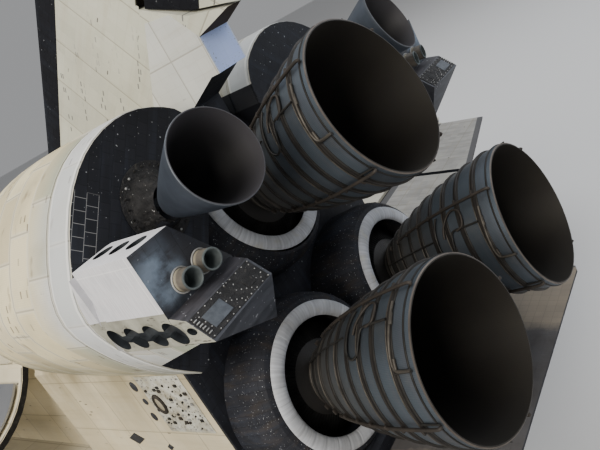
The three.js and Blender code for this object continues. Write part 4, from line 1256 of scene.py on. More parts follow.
class ORBITER_OT_main_bells(bpy.types.Operator):
    """Makes the three main engine bells with their bands and pipes"""

    bl_idname = "orbiter.main_bells"
    bl_label = "Main bells"

    DESIGN_TURNS = {"1": 0, "2": 27.5, "3": 0}

    def execute(self, context):
        bell = main_bell()
        bands = main_bell_bands()
        pipes = main_bell_pipes()
        for number, (pitch, yaw) in MAIN_ENGINES.items():
            place = engine_frame(f"main_engine_{number}_pitch", pitch, yaw)
            place = place @ spun(-self.DESIGN_TURNS[number], "Y")
            body = f"main_engine_{number}"
            riding(twin(bell, f"main_bell_{number}", place), body, "bell_steel", body)
            riding(twin(bands, f"main_bell_bands_{number}", place), body, "bell_steel")
            riding(twin(pipes, f"main_bell_pipes_{number}", place), body, "bell_steel")
        for piece in (bell, bands, pipes):
            bpy.data.objects.remove(piece)
        return {"FINISHED"}


class ORBITER_OT_orbital_bells(bpy.types.Operator):
    """Makes the two orbital engine bells"""

    bl_idname = "orbiter.orbital_bells"
    bl_label = "Orbital bells"

    def execute(self, context):
        bell = orbital_bell()
        for side, (pitch, yaw) in ORBITAL_ENGINES.items():
            place = engine_frame(f"orbital_engine_{side}_pitch", pitch, yaw)
            body = f"orbital_engine_{side}"
            riding(twin(bell, f"orbital_bell_{side}", place), body, "orbital_bell", body)
        bpy.data.objects.remove(bell)
        return {"FINISHED"}


class ORBITER_OT_dome_rings(bpy.types.Operator):
    """Makes the quilted rings round the main bells' necks"""

    bl_idname = "orbiter.dome_rings"
    bl_label = "Dome rings"

    OUTER = 1.143
    INNER = 0.899
    DEPTH = 0.0596

    def execute(self, context):
        middle = (self.OUTER + self.INNER) / 2
        half = (self.OUTER - self.INNER) / 2
        turns = [math.radians(degrees) for degrees in range(0, 181, 20)]
        crown = [(middle - half * math.cos(turn), -self.DEPTH * (1 - math.sin(turn))) for turn in turns]
        for number in RINGS:
            profile = [(radius, RINGS[number][0] + rise) for radius, rise in [*crown, crown[0]]]
            ring = painted(wrapped(turned(f"quilted_ring_{number}", profile, 112, 60)), quilt())
            riding(settled(ring, ring_frame(number)), "airframe", "blanket", f"dome_ring_{number}")
        return {"FINISHED"}


# Sides, with the sign of x on each, and half the body's width at the tail
SIDES = {"left": 1, "right": -1}
TAIL_SIDE = 2.794


class ORBITER_OT_rim_quilts(bpy.types.Operator):
    """Lays two raised blanket strips round each pod's rear rim"""

    bl_idname = "orbiter.rim_quilts"
    bl_label = "Rim quilts"

    STRIPS = ((POD_REAR - 0.488, POD_REAR - 0.028), (POD_REAR - 1.018, POD_REAR - 0.542))
    DECK_FOOT = (TAIL_SIDE, 6.807)
    DECK_RUN = (-2.104, 2.413)
    DECK_GAP = 0.10

    def execute(self, context):
        rise = context.scene.orbiter_sizes.quilt_rise
        for side, sign in SIDES.items():
            foot = Vector((self.DECK_FOOT[0] * sign, 0, self.DECK_FOOT[1]))
            deck = Vector((self.DECK_RUN[0] * sign, 0, self.DECK_RUN[1])).normalized()

            def unwanted(face):
                """On the deck, or an end that a cut left."""
                offset = face.center - foot
                offset.y = 0
                off_deck = (offset - deck * offset.dot(deck)).length
                return off_deck < self.DECK_GAP or abs(face.normal.y) > 0.8

            strips = []
            for front, rear in self.STRIPS:
                strip = solid_copy(f"pod_{side}", "strip")
                with editing(strip):
                    bpy.ops.mesh.bisect(plane_co=(0, front, 0), plane_no=(0, 1, 0), clear_inner=True)
                    bpy.ops.mesh.select_all(action="SELECT")
                    bpy.ops.mesh.bisect(plane_co=(0, rear, 0), plane_no=(0, 1, 0), clear_outer=True)
                with editing(chosen(strip, "polygons", unwanted), everything=False):
                    bpy.ops.mesh.delete(type="FACE")
                finished(strip, "SOLIDIFY", thickness=rise, offset=1, use_even_offset=True)
                finished(strip, "BEVEL", width=rise * 0.45, segments=2, limit_method="ANGLE",
                         angle_limit=math.radians(40))
                strips.append(painted(cleaned(strip, 40), rim_quilt()))
            riding(joined(strips, f"rim_quilts_{side}"), "airframe", "blanket")
        return {"FINISHED"}


@skin(roughness=0.95)
def soot_cloth(finish):
    """Near-black pleated curtain inside the dome rings, greyed in soft patches; part of its darkness is
    painted shade in the rings' recess, and its dark pleat lines are painted shade in the folds.
    """
    spread = finish.spread()
    turn = finish.wrap()[0]
    pleat = (turn * 72).off_middle() * 2
    fold = finish.noise(spread, 4.0, 5)
    # Near black overall, partly painted shade in the dome ring's recess; the pleat lines below are painted
    # shade in the folds
    tone = finish.mix(fold.ramp(0.42, 0.70), (0.0045, 0.0045, 0.0048), (0.014, 0.0135, 0.013))
    tone = tone.under(pleat.ramp(0.35, 0.0) * 0.6, (0.002, 0.002, 0.002))
    return finish.done(tone, (pleat + fold * 0.6, 0.012, 0.8), gloss=0.12)


@skin(metallic=0.1)
def crumpled_cover(finish):
    """Dark quilted cover with creases, scuffs and bright flecks."""
    spread = finish.spread()
    crease = finish.noise(spread, 7.0, 6, 0.7)
    scuff = finish.noise(spread, 16.0, 3)
    fleck = finish.noise(spread, 30.0, 1).ramp(0.73, 0.77)
    tone = finish.mix(crease.ramp(0.44, 0.60), (0.006, 0.006, 0.007), (0.021, 0.0205, 0.022))
    tone = tone.under(scuff.ramp(0.60, 0.72) * 0.55, (0.075, 0.066, 0.058))
    tone = tone.under(fleck * 0.9, (0.52, 0.52, 0.52))
    return finish.done(tone, (crease + scuff * 0.5, 0.045, 1.0), rough=0.62 + crease * 0.25)


class ORBITER_OT_engine_boots(bpy.types.Operator):
    """Makes the bolted ring and the crumpled cover at the root of each orbital engine"""

    bl_idname = "orbiter.engine_boots"
    bl_label = "Engine boots"

    FLANGE = ((0.40, 0.0), (0.555, 0.0), (0.555, 0.018), (0.535, 0.026), (0.43, 0.026))
    NECK = 0.10
    COVER = ((0.405, 0.055), (0.385, 0.10), (0.345, 0.155), (0.315, 0.215), (0.285, 0.29), (0.262, 0.36),
             (0.243, 0.395), (0.236, 0.38), (0.236, 0.0), (0.40, 0.0))
    BOLTS = 22
    BARE = (3, 4, 9, 10, 11, 16, 20)
    ROOT = (2.06, 8.98)
    BOLT_CIRCLE = 0.495

    def loose(self, vertex):
        """On the outside of the cover, clear of its ends."""
        return 0.06 < vertex.co.y < 0.37 and math.hypot(vertex.co.x, vertex.co.z) > 0.25

    def execute(self, context):
        for side, (pitch, yaw) in ORBITAL_ENGINES.items():
            frame = engine_frame(f"orbital_engine_{side}_pitch", pitch, yaw)
            gimbal, axis = frame.translation, frame.to_3x3() @ Vector((0, 1, 0))
            root = Vector((math.copysign(self.ROOT[0], gimbal.x), POD_REAR, self.ROOT[1]))
            neck = gimbal + axis * self.NECK
            boot = turned("boot", [*self.FLANGE, *self.COVER], 72, 50)
            with editing(chosen(boot, "vertices", self.loose), everything=False):
                bpy.ops.transform.vertex_random(offset=0.026, uniform=0.2, seed=4)
            way = (neck - root) / (neck.y - root.y)
            boot.data.transform(Matrix(((1, way.x, 0, 0), (0, 1, 0, 0), (0, way.z, 1, 0), (0, 0, 0, 1))))
            painted(boot, crumpled_cover())
            places = []
            for number in range(self.BOLTS):
                turn = TURN * number / self.BOLTS
                spot = (self.BOLT_CIRCLE * math.cos(turn), 0.024, self.BOLT_CIRCLE * math.sin(turn))
                places.append(frame_at(spot, (1, 0, 0), (0, 1, 0)))
            bright = [place for number, place in enumerate(places) if number in self.BARE]
            dull = [place for number, place in enumerate(places) if number not in self.BARE]
            bolts = [painted(studs("bolts", bright, 0.017, 0.016), "bright_stud"),
                     painted(studs("bolts", dull, 0.017, 0.016), "dark_pipe")]
            piece = joined([boot, *bolts], f"engine_boot_{side}")
            riding(settled(piece, Matrix.Translation(root)), "airframe", "black_tile")
        return {"FINISHED"}


# Thruster housings: side ports and top ports as places and half sizes
SIDE_PORTS = [(13.856 + 0.345 * number, 8.090) for number in range(4)]
TOP_PORTS = [(3.449, 14.021 + 0.324 * number) for number in range(3)]
TUBE_COLUMNS = (3.410, 3.067)
TUBE_HEIGHT = 8.478
TUBE_ROOT = 14.925
TUBE_MOUTH = 15.110
TUBE_RADIUS = 0.125

# The same tubes in the CAD node: columns, height and mouth; and how much the scarfed mouths look outboard
SOLID_COLUMNS = (3.480, 3.150)
SOLID_HEIGHT = 8.460
SOLID_MOUTH = 15.190
SCARF = 0.19


@skin(roughness=0.88)
def housing_white(finish):
    """New white blanket with fine vertical threads, over stained beige tiles round the side ports."""
    x, y, z = finish.place()
    nx = finish.facing()[0]
    thread = finish.noise(finish.join(y * 60, z * 3.0), 1.0, 3)
    cloud = finish.noise(finish.join(y, z), 2.4, 4)
    tone = finish.mix(thread.ramp(0.40, 0.64) * 0.55, (0.70, 0.70, 0.73), (0.50, 0.49, 0.53))
    tone = tone.under(cloud.ramp(0.46, 0.75) * 0.45, (0.46, 0.47, 0.50))
    seam = (abs(y - 14.855) < 0.010).most(abs(z - 8.93) < 0.008) * (abs(nx) > 0.5)
    tone = tone.under(seam * 0.5, (0.85, 0.85, 0.85))
    stained, rise = beige_tiles(finish, y, z, x)
    low = (z < 8.345) * (abs(nx) > 0.5)
    tone = tone.under(low, stained)
    return finish.done(tone, (thread + seam * 2 + low * (rise - thread), 0.002, 0.6))


def beige_tiles(finish, y, z, x):
    """Stained beige tile colour, darkest round the row of ports, and its bump height."""
    stain = finish.noise(finish.join(y, z, x), 3.0, 5)
    gap, edge = finish.grid(y, z, 0.17, 0.17, 0.003)[::2]
    smudge = finish.noise(finish.join(y, z * 3.0), 6.0, 3).ramp(0.60, 0.68)
    tone = finish.mix(stain.ramp(0.38, 0.68), (0.38, 0.375, 0.315), (0.23, 0.225, 0.18))
    tone = tone.under(smudge * 0.85, (0.07, 0.06, 0.05))
    near = (1 - abs(z - 8.085) / 0.20).most(0) * (y > 13.70) * (y < 15.05)
    tone = tone.under(near * stain.ramp(0.30, 0.60) * 0.75, (0.12, 0.115, 0.095))
    return tone.under(gap * 0.25, (0.18, 0.16, 0.12)), edge.ramp(0.0, 0.008) + stain * 0.3


@skin(roughness=0.80)
def housing_beige(finish):
    """Stained beige tiles below the side ports."""
    x, y, z = finish.place()
    tone, height = beige_tiles(finish, y, z, x)
    return finish.done(tone, (height, 0.003, 0.6))


@skin()
def housing_dark(finish):
    """Black tiles under a strong pale blue haze, with faint panel lines."""
    x, z = finish.place()[::2]
    out = abs(x)
    tone, height = black_tiles(finish, out, z, 0.20)
    cloud = finish.noise(finish.join(out * 1.2, z * 1.6, 4.0), 2.3, 5, 0.6)
    near = (1 - abs(out - 3.62) / 0.42).most(0) * (1 - abs(z - 8.62) / 0.42).most(0)
    haze = cloud.ramp(0.36, 0.62) * near.ramp(0.05, 0.45)
    tone = tone.under(haze * 0.80, (0.20, 0.26, 0.34))
    tone = tone.under(cloud.ramp(0.55, 0.75) * 0.3, (0.075, 0.068, 0.075))
    return finish.done(tone, (height, 0.003, 0.5), rough=0.52 + haze * 0.2)


@skin(metallic=0.15)
def housing_grey(finish):
    """Smooth grey-mauve plates, scuffed in soft strokes."""
    x, y, z = finish.place()
    spread = finish.join(x, y, z)
    stroke = finish.noise(finish.join(x * 2.2, y * 9.0, z * 9.0), 1.0, 5)
    cloud = finish.noise(spread, 3.0, 4)
    tone = finish.mix(stroke.ramp(0.38, 0.68), (0.030, 0.029, 0.035), (0.080, 0.076, 0.088))
    bluer = finish.mix(stroke.ramp(0.40, 0.66), (0.030, 0.035, 0.045), (0.065, 0.072, 0.088))
    tone = tone.under(z.ramp(8.24, 8.16) * 0.7, bluer)
    tone = tone.under(cloud.ramp(0.52, 0.75) * 0.4, (0.040, 0.045, 0.058))
    fleck = finish.noise(spread, 26.0, 1).ramp(0.68, 0.72) * finish.noise(spread, 3.4, 2).ramp(0.48, 0.58)
    tone = tone.under(fleck * 0.85, (0.40, 0.41, 0.44))
    return finish.done(tone, (stroke, 0.002, 0.4), rough=0.45 + stroke * 0.25)


@skin(roughness=0.62)
def tube_cream(finish):
    """Scorched brown-grey coating round the aft thruster tubes, with a cream band by their root that is a
    painted highlight of the flange; further forward it is cream all over.
    """
    x, y, z = finish.place()
    scorch = finish.noise(finish.join(x * 5, y * 2, z * 5), 1.4, 4)
    # Cream by the tubes' root: a painted highlight of the flange edge; anything further forward, such as the
    # side panels' covers, comes out cream
    ends = y.ramp(TUBE_ROOT + 0.07, TUBE_ROOT + 0.03)
    tone = finish.mix(scorch.ramp(0.40, 0.66), (0.15, 0.13, 0.105), (0.07, 0.062, 0.052))
    tone = tone.under(ends * 0.75, (0.42, 0.38, 0.28))
    return finish.done(tone, (scorch, 0.002, 0.4))


def scarfed(piece):
    """Shifts the copied tubes to their places and cuts their mouths at a slant."""
    for vertex in piece.data.vertices:
        place = vertex.co
        solid = min(SOLID_COLUMNS, key=lambda column: abs(abs(place.x) - column))
        offset = Vector((abs(place.x) - solid, place.z - SOLID_HEIGHT))
        if place.y < 14.89 or offset.length > TUBE_RADIUS + 0.004:
            continue
        if place.y > SOLID_MOUTH - 0.01:
            place.y = TUBE_MOUTH - SCARF * offset.x
        column = TUBE_COLUMNS[SOLID_COLUMNS.index(solid)]
        place.x = math.copysign(column + offset.x, place.x)
        place.z = TUBE_HEIGHT + offset.y
    return piece


def housing(side, sign):
    """One thruster housing cut with its ports, each of its faces in its own finish."""
    piece = scarfed(solid_copy(f"thruster_housing_{side}", "housing"))
    painted(piece, housing_white(), housing_beige(), housing_dark(), housing_grey(), tube_cream(),
            "tube_grey", "port_black")
    white, beige, dark, grey, cream, lining = range(6)

    def finish_of(centre, normal):
        out = abs(centre.x)
        tube = min(math.hypot(out - column, centre.z - TUBE_HEIGHT) for column in TUBE_COLUMNS)
        if tube < 0.118 and centre.y > 14.88 and abs(centre.y - TUBE_ROOT) > 0.01:
            return lining
        if tube < 0.128 and centre.y > TUBE_ROOT:
            return cream
        if normal.y > 0.9:
            return dark
        if normal.y > 0.3 or (normal.z > 0.5 and centre.z < 8.4):
            return grey
        if normal.x * sign > 0.55:
            return white if centre.z > 8.29 else beige
        if normal.z > 0.5:
            return white
        if normal.z < -0.3:
            return beige if centre.y < 14.9 else grey
        return dark

    for face in piece.data.polygons:
        face.material_index = finish_of(face.center, face.normal)
    finished(piece, "BEVEL", width=0.010, segments=2, limit_method="ANGLE", angle_limit=math.radians(25))

    across = spun(90, "Y")
    middle = sum(y for y, z in SIDE_PORTS) / len(SIDE_PORTS)
    cutters = [((3.806, middle, SIDE_PORTS[0][1]), 0, (0.199, 0.54, 0.062), across)]
    cutters += [((3.810, y, z), -40, (0.20, 0.178, 0.112), across) for y, z in SIDE_PORTS]
    cutters.append(((3.806, 15.156, 8.092), 0, (0.12, 0.075, 0.045), across))
    cutters += [((x, y, 9.03), 0, (0.135, 0.115, 0.30), Matrix()) for x, y in TOP_PORTS]
    for (x, y, z), lean, size, turn in cutters:
        cutter = added("cutter", bpy.ops.mesh.primitive_cylinder_add, vertices=40, radius=1, depth=1)
        place = Matrix.Translation((x * sign, y, z)) @ spun(lean, "X")
        cutter.data.transform(place @ Matrix.Diagonal((*size, 1)) @ turn)
        painted(cutter, "port_black")
        finished(piece, "BOOLEAN", object=cutter, operation="DIFFERENCE", solver="EXACT",
                 material_mode="TRANSFER")
        bpy.data.objects.remove(cutter)
    pick(piece)
    bpy.ops.object.shade_smooth_by_angle(angle=math.radians(28))
    return piece


def hull(name, corners, smooth=30):
    """The tightest closed skin round some points."""
    piece = polyline(name, corners)
    with editing(piece):
        bpy.ops.mesh.convex_hull()
    return cleaned(piece, smooth)


# Corners of the front skirt on the housing, as x and z, and of the low skirt, as x, y and z
FRONT_SKIRT = ((3.803, 8.93), (3.803, 8.30), (3.803, 7.93), (3.50, 8.93), (3.50, 7.80))
LOW_SKIRT = ((3.795, 15.13, 7.925), (3.66, 15.05, 7.88), (3.50, POD_REAR + 0.002, 7.80))


def housing_skirts(side, sign):
    """Covers between the pod's rim and a housing: one in front of its outboard face, one below it."""
    rim = {(round(abs(v.co.x), 3), round(v.co.z, 3)) for v in NODES[f"pod_{side}"].data.vertices
           if abs(v.co.y - POD_REAR) < 0.01 and abs(v.co.x) > 3.2 and 7.30 < v.co.z < 9.05}
    front = [(x * sign, POD_REAR + 0.002, z) for x, z in sorted(rim) if 7.70 < z < 8.70]
    front += [(x * sign, 13.70, z) for x, z in FRONT_SKIRT]
    below = [(x * sign, POD_REAR + 0.002, z) for x, z in sorted(rim) if z < 7.95]
    below += [(x * sign, y, z) for x, y, z in LOW_SKIRT]
    return [painted(hull("front_skirt", front), housing_white()),
            painted(hull("low_skirt", below), pod_skin())]


def slope_place(sign, along, down):
    """A place on the housing's sloping panel, from its outboard top corner; z looks out of the panel."""
    fall = Vector((0, 0.241, -0.279)).normalized()
    origin = Vector((3.807 * sign, 15.164, 8.222)) + Vector((-sign * along, 0, 0)) + fall * down
    return frame_at(origin, (-sign, 0, 0), (0, 0.757, 0.654))


def slope_panel(sign):
    """The black riveted panel: its frame, a grey-blue plate, a row of bars and the bolts."""
    frame = plate("frame", (1.06, 0.315, 0.012), slope_place(sign, 0.545, 0.175), 0.004)
    made = [
        painted(frame, crumpled_cover()),
        painted(plate("plate", (0.31, 0.185, 0.022), slope_place(sign, 0.285, 0.185), 0.006), "plate_blue"),
        painted(plate("cover", (0.24, 0.10, 0.018), slope_place(sign, 0.62, 0.13), 0.006), crumpled_cover()),
        painted(plate("cover", (0.15, 0.12, 0.024), slope_place(sign, 0.85, 0.20), 0.006), crumpled_cover()),
    ]
    for number in range(6):
        place = slope_place(sign, 0.050, 0.075 + 0.038 * number)
        made.append(painted(plate("bar", (0.050, 0.013, 0.026), place, 0.004), "bright_stud"))
    radius = bpy.context.scene.orbiter_sizes.stud_radius
    spots = [(0.04 + 0.113 * number, down) for number in range(10) for down in (0.036, 0.318)]
    spots += [(along, 0.075 + 0.08 * number) for number in range(3) for along in (0.115, 1.03)]
    spots += [(0.46 + 0.047 * number, 0.17 + 0.035 * ((number * 5) % 4)) for number in range(12)]
    rise = Matrix.Translation((0, 0, 0.010))
    heads = studs("bolts", [slope_place(sign, *spot) @ rise for spot in spots], radius, 0.010)
    return [*made, painted(heads, "bright_stud")]


class ORBITER_OT_thruster_housings(bpy.types.Operator):
    """Makes the two thruster housings with their ports, tubes and riveted panels"""

    bl_idname = "orbiter.thruster_housings"
    bl_label = "Thruster housings"

    TUBE_RINGS = (
        (TUBE_ROOT + 0.012, 0.138, 0.011, 0, "bright_stud"),
        (TUBE_MOUTH, 0.1145, 0.0125, SCARF, "tube_grey"),
    )

    def execute(self, context):
        for side, sign in SIDES.items():
            pieces = [housing(side, sign)]
            for column in TUBE_COLUMNS:
                for y, radius, wall, scarf, finish in self.TUBE_RINGS:
                    ring = added("ring", bpy.ops.mesh.primitive_torus_add, major_radius=radius,
                                 minor_radius=wall, major_segments=48, minor_segments=10,
                                 rotation=(math.pi / 2, 0, 0))
                    slant = Matrix(((1, 0, 0, 0), (-scarf * sign, 1, 0, 0), (0, 0, 1, 0), (0, 0, 0, 1)))
                    ring.data.transform(Matrix.Translation((column * sign, y, TUBE_HEIGHT)) @ slant)
                    pieces.append(painted(cleaned(ring, 60), finish))
            pieces += slope_panel(sign)
            pieces += housing_skirts(side, sign)
            block = joined(pieces, f"thruster_block_{side}")
            riding(block, "airframe", "white_tile", f"thruster_housing_{side}")
        return {"FINISHED"}


# Umbilical panels on the sides: centre as y and z, size, and columns and rows of places for fittings
PANEL_CENTRE = (12.17, 6.12)
PANEL_SIZE = (1.06, 1.13)
PANEL_GRID = (12, 12)


@skin(roughness=0.55)
def panel_paint(finish):
    """Pale cream paint with brown stains round the fittings."""
    y, z = finish.place()[1:]
    spread = finish.join(y, z)
    stain = finish.noise(spread, 5.0, 5)
    tone = finish.mix(stain.ramp(0.40, 0.70), (0.56, 0.56, 0.50), (0.33, 0.30, 0.22))
    tone = tone.under(finish.noise(spread, 22.0, 2).ramp(0.62, 0.70), (0.16, 0.13, 0.09))
    return finish.done(tone, (stain, 0.003, 0.5))


class ORBITER_OT_side_panels(bpy.types.Operator):
    """Makes the fitting-covered umbilical panel, the vents and the dark marks on each side of the tail"""

    bl_idname = "orbiter.side_panels"
    bl_label = "Side panels"

    DISCONNECT = (11.86, 6.14)
    MARKS = ((10.452, 5.322, 0.46, 0.27, 24), (11.264, 5.169, 0.17, 0.15, 30))
    VENTS = ((11.450, 6.48, 0.15, 0.20), (11.480, 6.17, 0.11, 0.13), (11.425, 5.85, 0.13, 0.17))

    def oval(self, name, size, place, sides):
        """A thin oval cap of a width, height and thickness."""
        cap = disc(name, 0.5, size[2], Matrix(), sides)
        cap.data.transform(Matrix.Diagonal((*size[:2], 1, 1)))
        return settled(cap, place)

    def execute(self, context):
        for side, sign in SIDES.items():
            def at(y, z, lift=0.0):
                return frame_at((sign * (TAIL_SIDE + lift), y, z), (0, 1, 0), (sign, 0, 0))

            middle_y, middle_z = PANEL_CENTRE
            base = plate("plate", (*PANEL_SIZE, 0.016), at(middle_y, middle_z), 0.005)
            pieces = [painted(base, panel_paint())]
            fittings, caps = [], []
            columns, rows = PANEL_GRID
            for number in range(columns * rows):
                column, row = number % columns, number // columns
                luck = (row * 37 + column * 23 + row * column * 11) % 29
                if luck > 18:
                    continue
                radius = 0.012 + 0.0016 * (luck * 7 % 13)
                along = (column + 0.5) / columns - 0.5 + 0.02 * math.sin(number * 2.3)
                rise = (row + 0.5) / rows - 0.5 + 0.02 * math.cos(number * 1.7)
                if abs(along + 0.31) < 0.10 and abs(rise) < 0.20:
                    continue
                place = at(middle_y + along * 0.96, middle_z + rise * 0.98, 0.014)
                finish = (panel_paint(), panel_paint(), "bright_stud", "dark_pipe", "brown_pipe")[luck % 5]
                if luck % 3:
                    fittings.append(painted(disc("fitting", radius, 0.012 + radius * 0.6, place, 12), finish))
                else:
                    size = (radius * 2.4, radius * 1.8, 0.022)
                    fittings.append(painted(plate("fitting", size, place, 0.004), finish))
            for number in range(9):
                for edge in (-0.5, 0.5):
                    along = (number - 4) * 0.125
                    caps.append(at(middle_y + along, middle_z + edge, 0.014))
                    caps.append(at(middle_y + edge * 0.94, middle_z + along, 0.014))
            ring = added("disconnect", bpy.ops.mesh.primitive_torus_add, major_radius=0.12,
                         minor_radius=0.026, major_segments=40, minor_segments=10)
            ring.data.transform(Matrix.Diagonal((0.80, 1.35, 1, 1)))
            ring = settled(cleaned(ring, 60), at(*self.DISCONNECT, 0.03))
            cover = self.oval("cover", (0.17, 0.29, 0.02), at(*self.DISCONNECT, 0.012), 32)
            pieces += [painted(ring, "brown_pipe"), painted(cover, tube_cream())]
            pieces += [*fittings, painted(studs("caps", caps, 0.013, 0.014), "bright_stud")]
            riding(joined(pieces, f"side_panel_{side}"), "airframe", "white_tile")

            marks = []
            for y, z, width, height, lean in self.MARKS:
                corners = [(-width / 2, 0), (0, -height / 2), (width / 2, 0), (0, height / 2)]
                outline = [(TAIL_SIDE * sign, y + a + b * lean / 90, z + b) for a, b in corners]
                marks.append(painted(prism("mark", outline, (0.005 * sign, 0, 0)), airframe_mark()))
            for y, z, width, height in self.VENTS:
                vent = self.oval("vent", (width, height, 0.006), at(y, z), 24)
                marks.append(painted(vent, airframe_mark()))
            riding(joined(marks, f"side_marks_{side}"), "airframe", "black_tile")
        return {"FINISHED"}


@skin()
def airframe_mark(finish):
    """Dull black tile of the small marks."""
    y, z = finish.place()[1:]
    tone, height = black_tiles(finish, y, z, 0.15)
    return finish.done(tone, (height, 0.003, 0.5), rough=0.7)


# Fairing between the drag chute housing and the rudder

class ORBITER_OT_tail_fairing(bpy.types.Operator):
    """Makes the fairing that runs aft from the drag chute housing under the rudder"""

    bl_idname = "orbiter.tail_fairing"
    bl_label = "Tail fairing"

    SIDE = ((13.10, 10.90), (13.225, 11.235), (14.005, 10.825), (14.570, 10.665), (14.045, 10.516),
            (13.70, 10.40))
    HALF = 0.341
    TIP = 0.17

    def execute(self, context):
        outline = [(-self.HALF, y, z) for y, z in self.SIDE]
        fairing = prism("tail_fairing", outline, (2 * self.HALF, 0, 0), 30)
        for vertex in fairing.data.vertices:
            if vertex.co.y > 14.1:
                vertex.co.x = math.copysign(self.TIP, vertex.co.x)
            if vertex.co.y < 13.3:
                vertex.co.x *= 0.93
        with editing(fairing):
            bpy.ops.mesh.quads_convert_to_tris()
            bpy.ops.mesh.normals_make_consistent(inside=False)
        riding(painted(fairing, fin_skin()), "airframe", "white_tile")
        return {"FINISHED"}


# Payload doors

# A door's outline as a power curve: half width, height where widest, top, hinge, how far its edge stands over
# the hinge, the curve's power, how far it stands open, its two ends and its wall
DOOR_HALF = 2.692
DOOR_WIDEST = 6.858
DOOR_TOP = 9.144
DOOR_HINGE = 7.112
DOOR_EDGE = 0.062
DOOR_POWER = 2 / 2.3
DOOR_OPEN = math.radians(152)
DOOR_ENDS = (-9.792, 8.587)
DOOR_WALL = 0.110


def door_point(sign, share, depth, y):
    """A point of an open door, by its share from hinge to free edge, set in from the outside by a depth."""
    rise = DOOR_TOP - DOOR_WIDEST
    low = math.asin(((DOOR_HINGE + DOOR_EDGE - DOOR_WIDEST) / rise) ** (1 / DOOR_POWER))
    angle_here = low + (math.pi / 2 - 0.0005 - low) * share
    c, s = math.cos(angle_here), math.sin(angle_here)
    outward = Vector((c ** (2 - DOOR_POWER) / DOOR_HALF, s ** (2 - DOOR_POWER) / rise)).normalized()
    dx = DOOR_HALF * c ** DOOR_POWER - depth * outward.x - DOOR_HALF
    dz = DOOR_WIDEST + rise * s ** DOOR_POWER - depth * outward.y - DOOR_HINGE
    x = dx * math.cos(DOOR_OPEN) + dz * math.sin(DOOR_OPEN)
    z = -dx * math.sin(DOOR_OPEN) + dz * math.cos(DOOR_OPEN)
    return Vector((sign * (DOOR_HALF + x), y, DOOR_HINGE + z))


@skin(metallic=0.85)
def radiator_silver(finish):
    """Silver sheet with fine lengthways lines, a little dulled."""
    x, y, z = finish.place()
    line = ((y / 0.096).off_middle() * 2).ramp(0.06, 0.0)
    cloud = finish.noise(finish.join(x, y, z), 1.3, 4)
    tone = finish.mix(cloud.ramp(0.38, 0.7) * 0.5, tuple(shades().silver), (0.50, 0.49, 0.47))
    tone = tone.under(line * 0.4, (0.22, 0.22, 0.23))
    return finish.done(tone, (line, 0.001, 0.4), rough=0.20 + cloud * 0.22)


class ORBITER_OT_door_pieces(bpy.types.Operator):
    """Makes the radiators inside each payload door and the seals at its ends and free edge"""

    bl_idname = "orbiter.door_pieces"
    bl_label = "Door pieces"

    PANELS = 4
    GAP = 0.14
    SHARES = (0.10, 0.95)
    STEPS = 14

    def execute(self, context):
        front, rear = DOOR_ENDS
        length = (rear - front - self.GAP) / self.PANELS - self.GAP
        for side, sign in SIDES.items():
            low, high = self.SHARES
            shares = [low + (high - low) * step / self.STEPS for step in range(self.STEPS + 1)]
            pieces = []
            for number in range(self.PANELS):
                start = front + self.GAP + number * (length + self.GAP)
                outline = [door_point(sign, share, DOOR_WALL + 0.055, start) for share in shares]
                outline += [door_point(sign, share, DOOR_WALL + 0.095, start) for share in reversed(shares)]
                panel = prism("panel", outline, (0, length, 0), 30)
                pieces.append(painted(panel, radiator_silver()))
                for share in (0.2, 0.5, 0.8):
                    for y in (start + 0.5, start + length - 0.5):
                        post = [door_point(sign, share, DOOR_WALL + depth, y) for depth in (-0.01, 0.07)]
                        pieces.append(painted(piped("post", post, 0.03, 2), "bright_stud"))
            riding(joined(pieces, f"radiators_{side}"), f"payload_door_{side}", "gear_paint")
            seals = []
            for y in (front + 0.03, rear - 0.03):
                route = [door_point(sign, 0.02 + 0.97 * step / 24, DOOR_WALL + 0.006, y)
                         for step in range(25)]
                seals.append(painted(piped("seal", route, 0.014, 2), "seal_rubber"))
            route = [door_point(sign, 0.985, DOOR_WALL * 0.5, y) for y in (front + 0.02, rear - 0.02)]
            seals.append(painted(piped("seal", route, 0.020, 2), "seal_rubber"))
            riding(joined(seals, f"door_seals_{side}"), f"payload_door_{side}", "tyre_rubber")
        return {"FINISHED"}


# Cabin windows, ports and vents

def draped(name, outline, way, node_name, rise, thickness, inset=0.0):
    """A sheet laid on a CAD node: an outline in the plane square to a way, pushed along it onto the skin."""
    piece = polyline(name, [*outline, outline[0]])
    with editing(piece):
        bpy.ops.mesh.remove_doubles(threshold=1e-5)
        bpy.ops.mesh.edge_face_add()
        bpy.ops.mesh.inset(thickness=inset or 0.02, depth=0)
        bpy.ops.mesh.select_all(action="SELECT")
        bpy.ops.mesh.quads_convert_to_tris(quad_method="BEAUTY", ngon_method="BEAUTY")
        bpy.ops.mesh.subdivide(number_cuts=2)
    axis = max(range(3), key=lambda number: abs(way[number]))
    finished(piece, "SHRINKWRAP", target=NODES[node_name], wrap_method="PROJECT",
             use_project_x=axis == 0, use_project_y=axis == 1, use_project_z=axis == 2,
             use_positive_direction=way[axis] > 0, use_negative_direction=way[axis] < 0, offset=rise)
    piece = cleaned(piece, 40)
    if sum((face.normal.dot(Vector(way)) for face in piece.data.polygons)) > 0:
        piece.data.flip_normals()
    finished(piece, "SOLIDIFY", thickness=thickness, offset=-1)
    pick(piece)
    bpy.ops.object.shade_smooth_by_angle(angle=math.radians(40))
    return piece


def rounded(corners, radius=0.06, steps=4):
    """A closed outline with its corners rounded off."""
    corners = [Vector(corner) for corner in corners]
    points = []
    for before, corner, after in zip([corners[-1], *corners], corners, [*corners[1:], corners[0]]):
        start = corner + (before - corner).normalized() * radius
        stop = corner + (after - corner).normalized() * radius
        for step in range(steps + 1):
            t = step / steps
            points.append(start.lerp(corner, t).lerp(corner.lerp(stop, t), t))
    return points


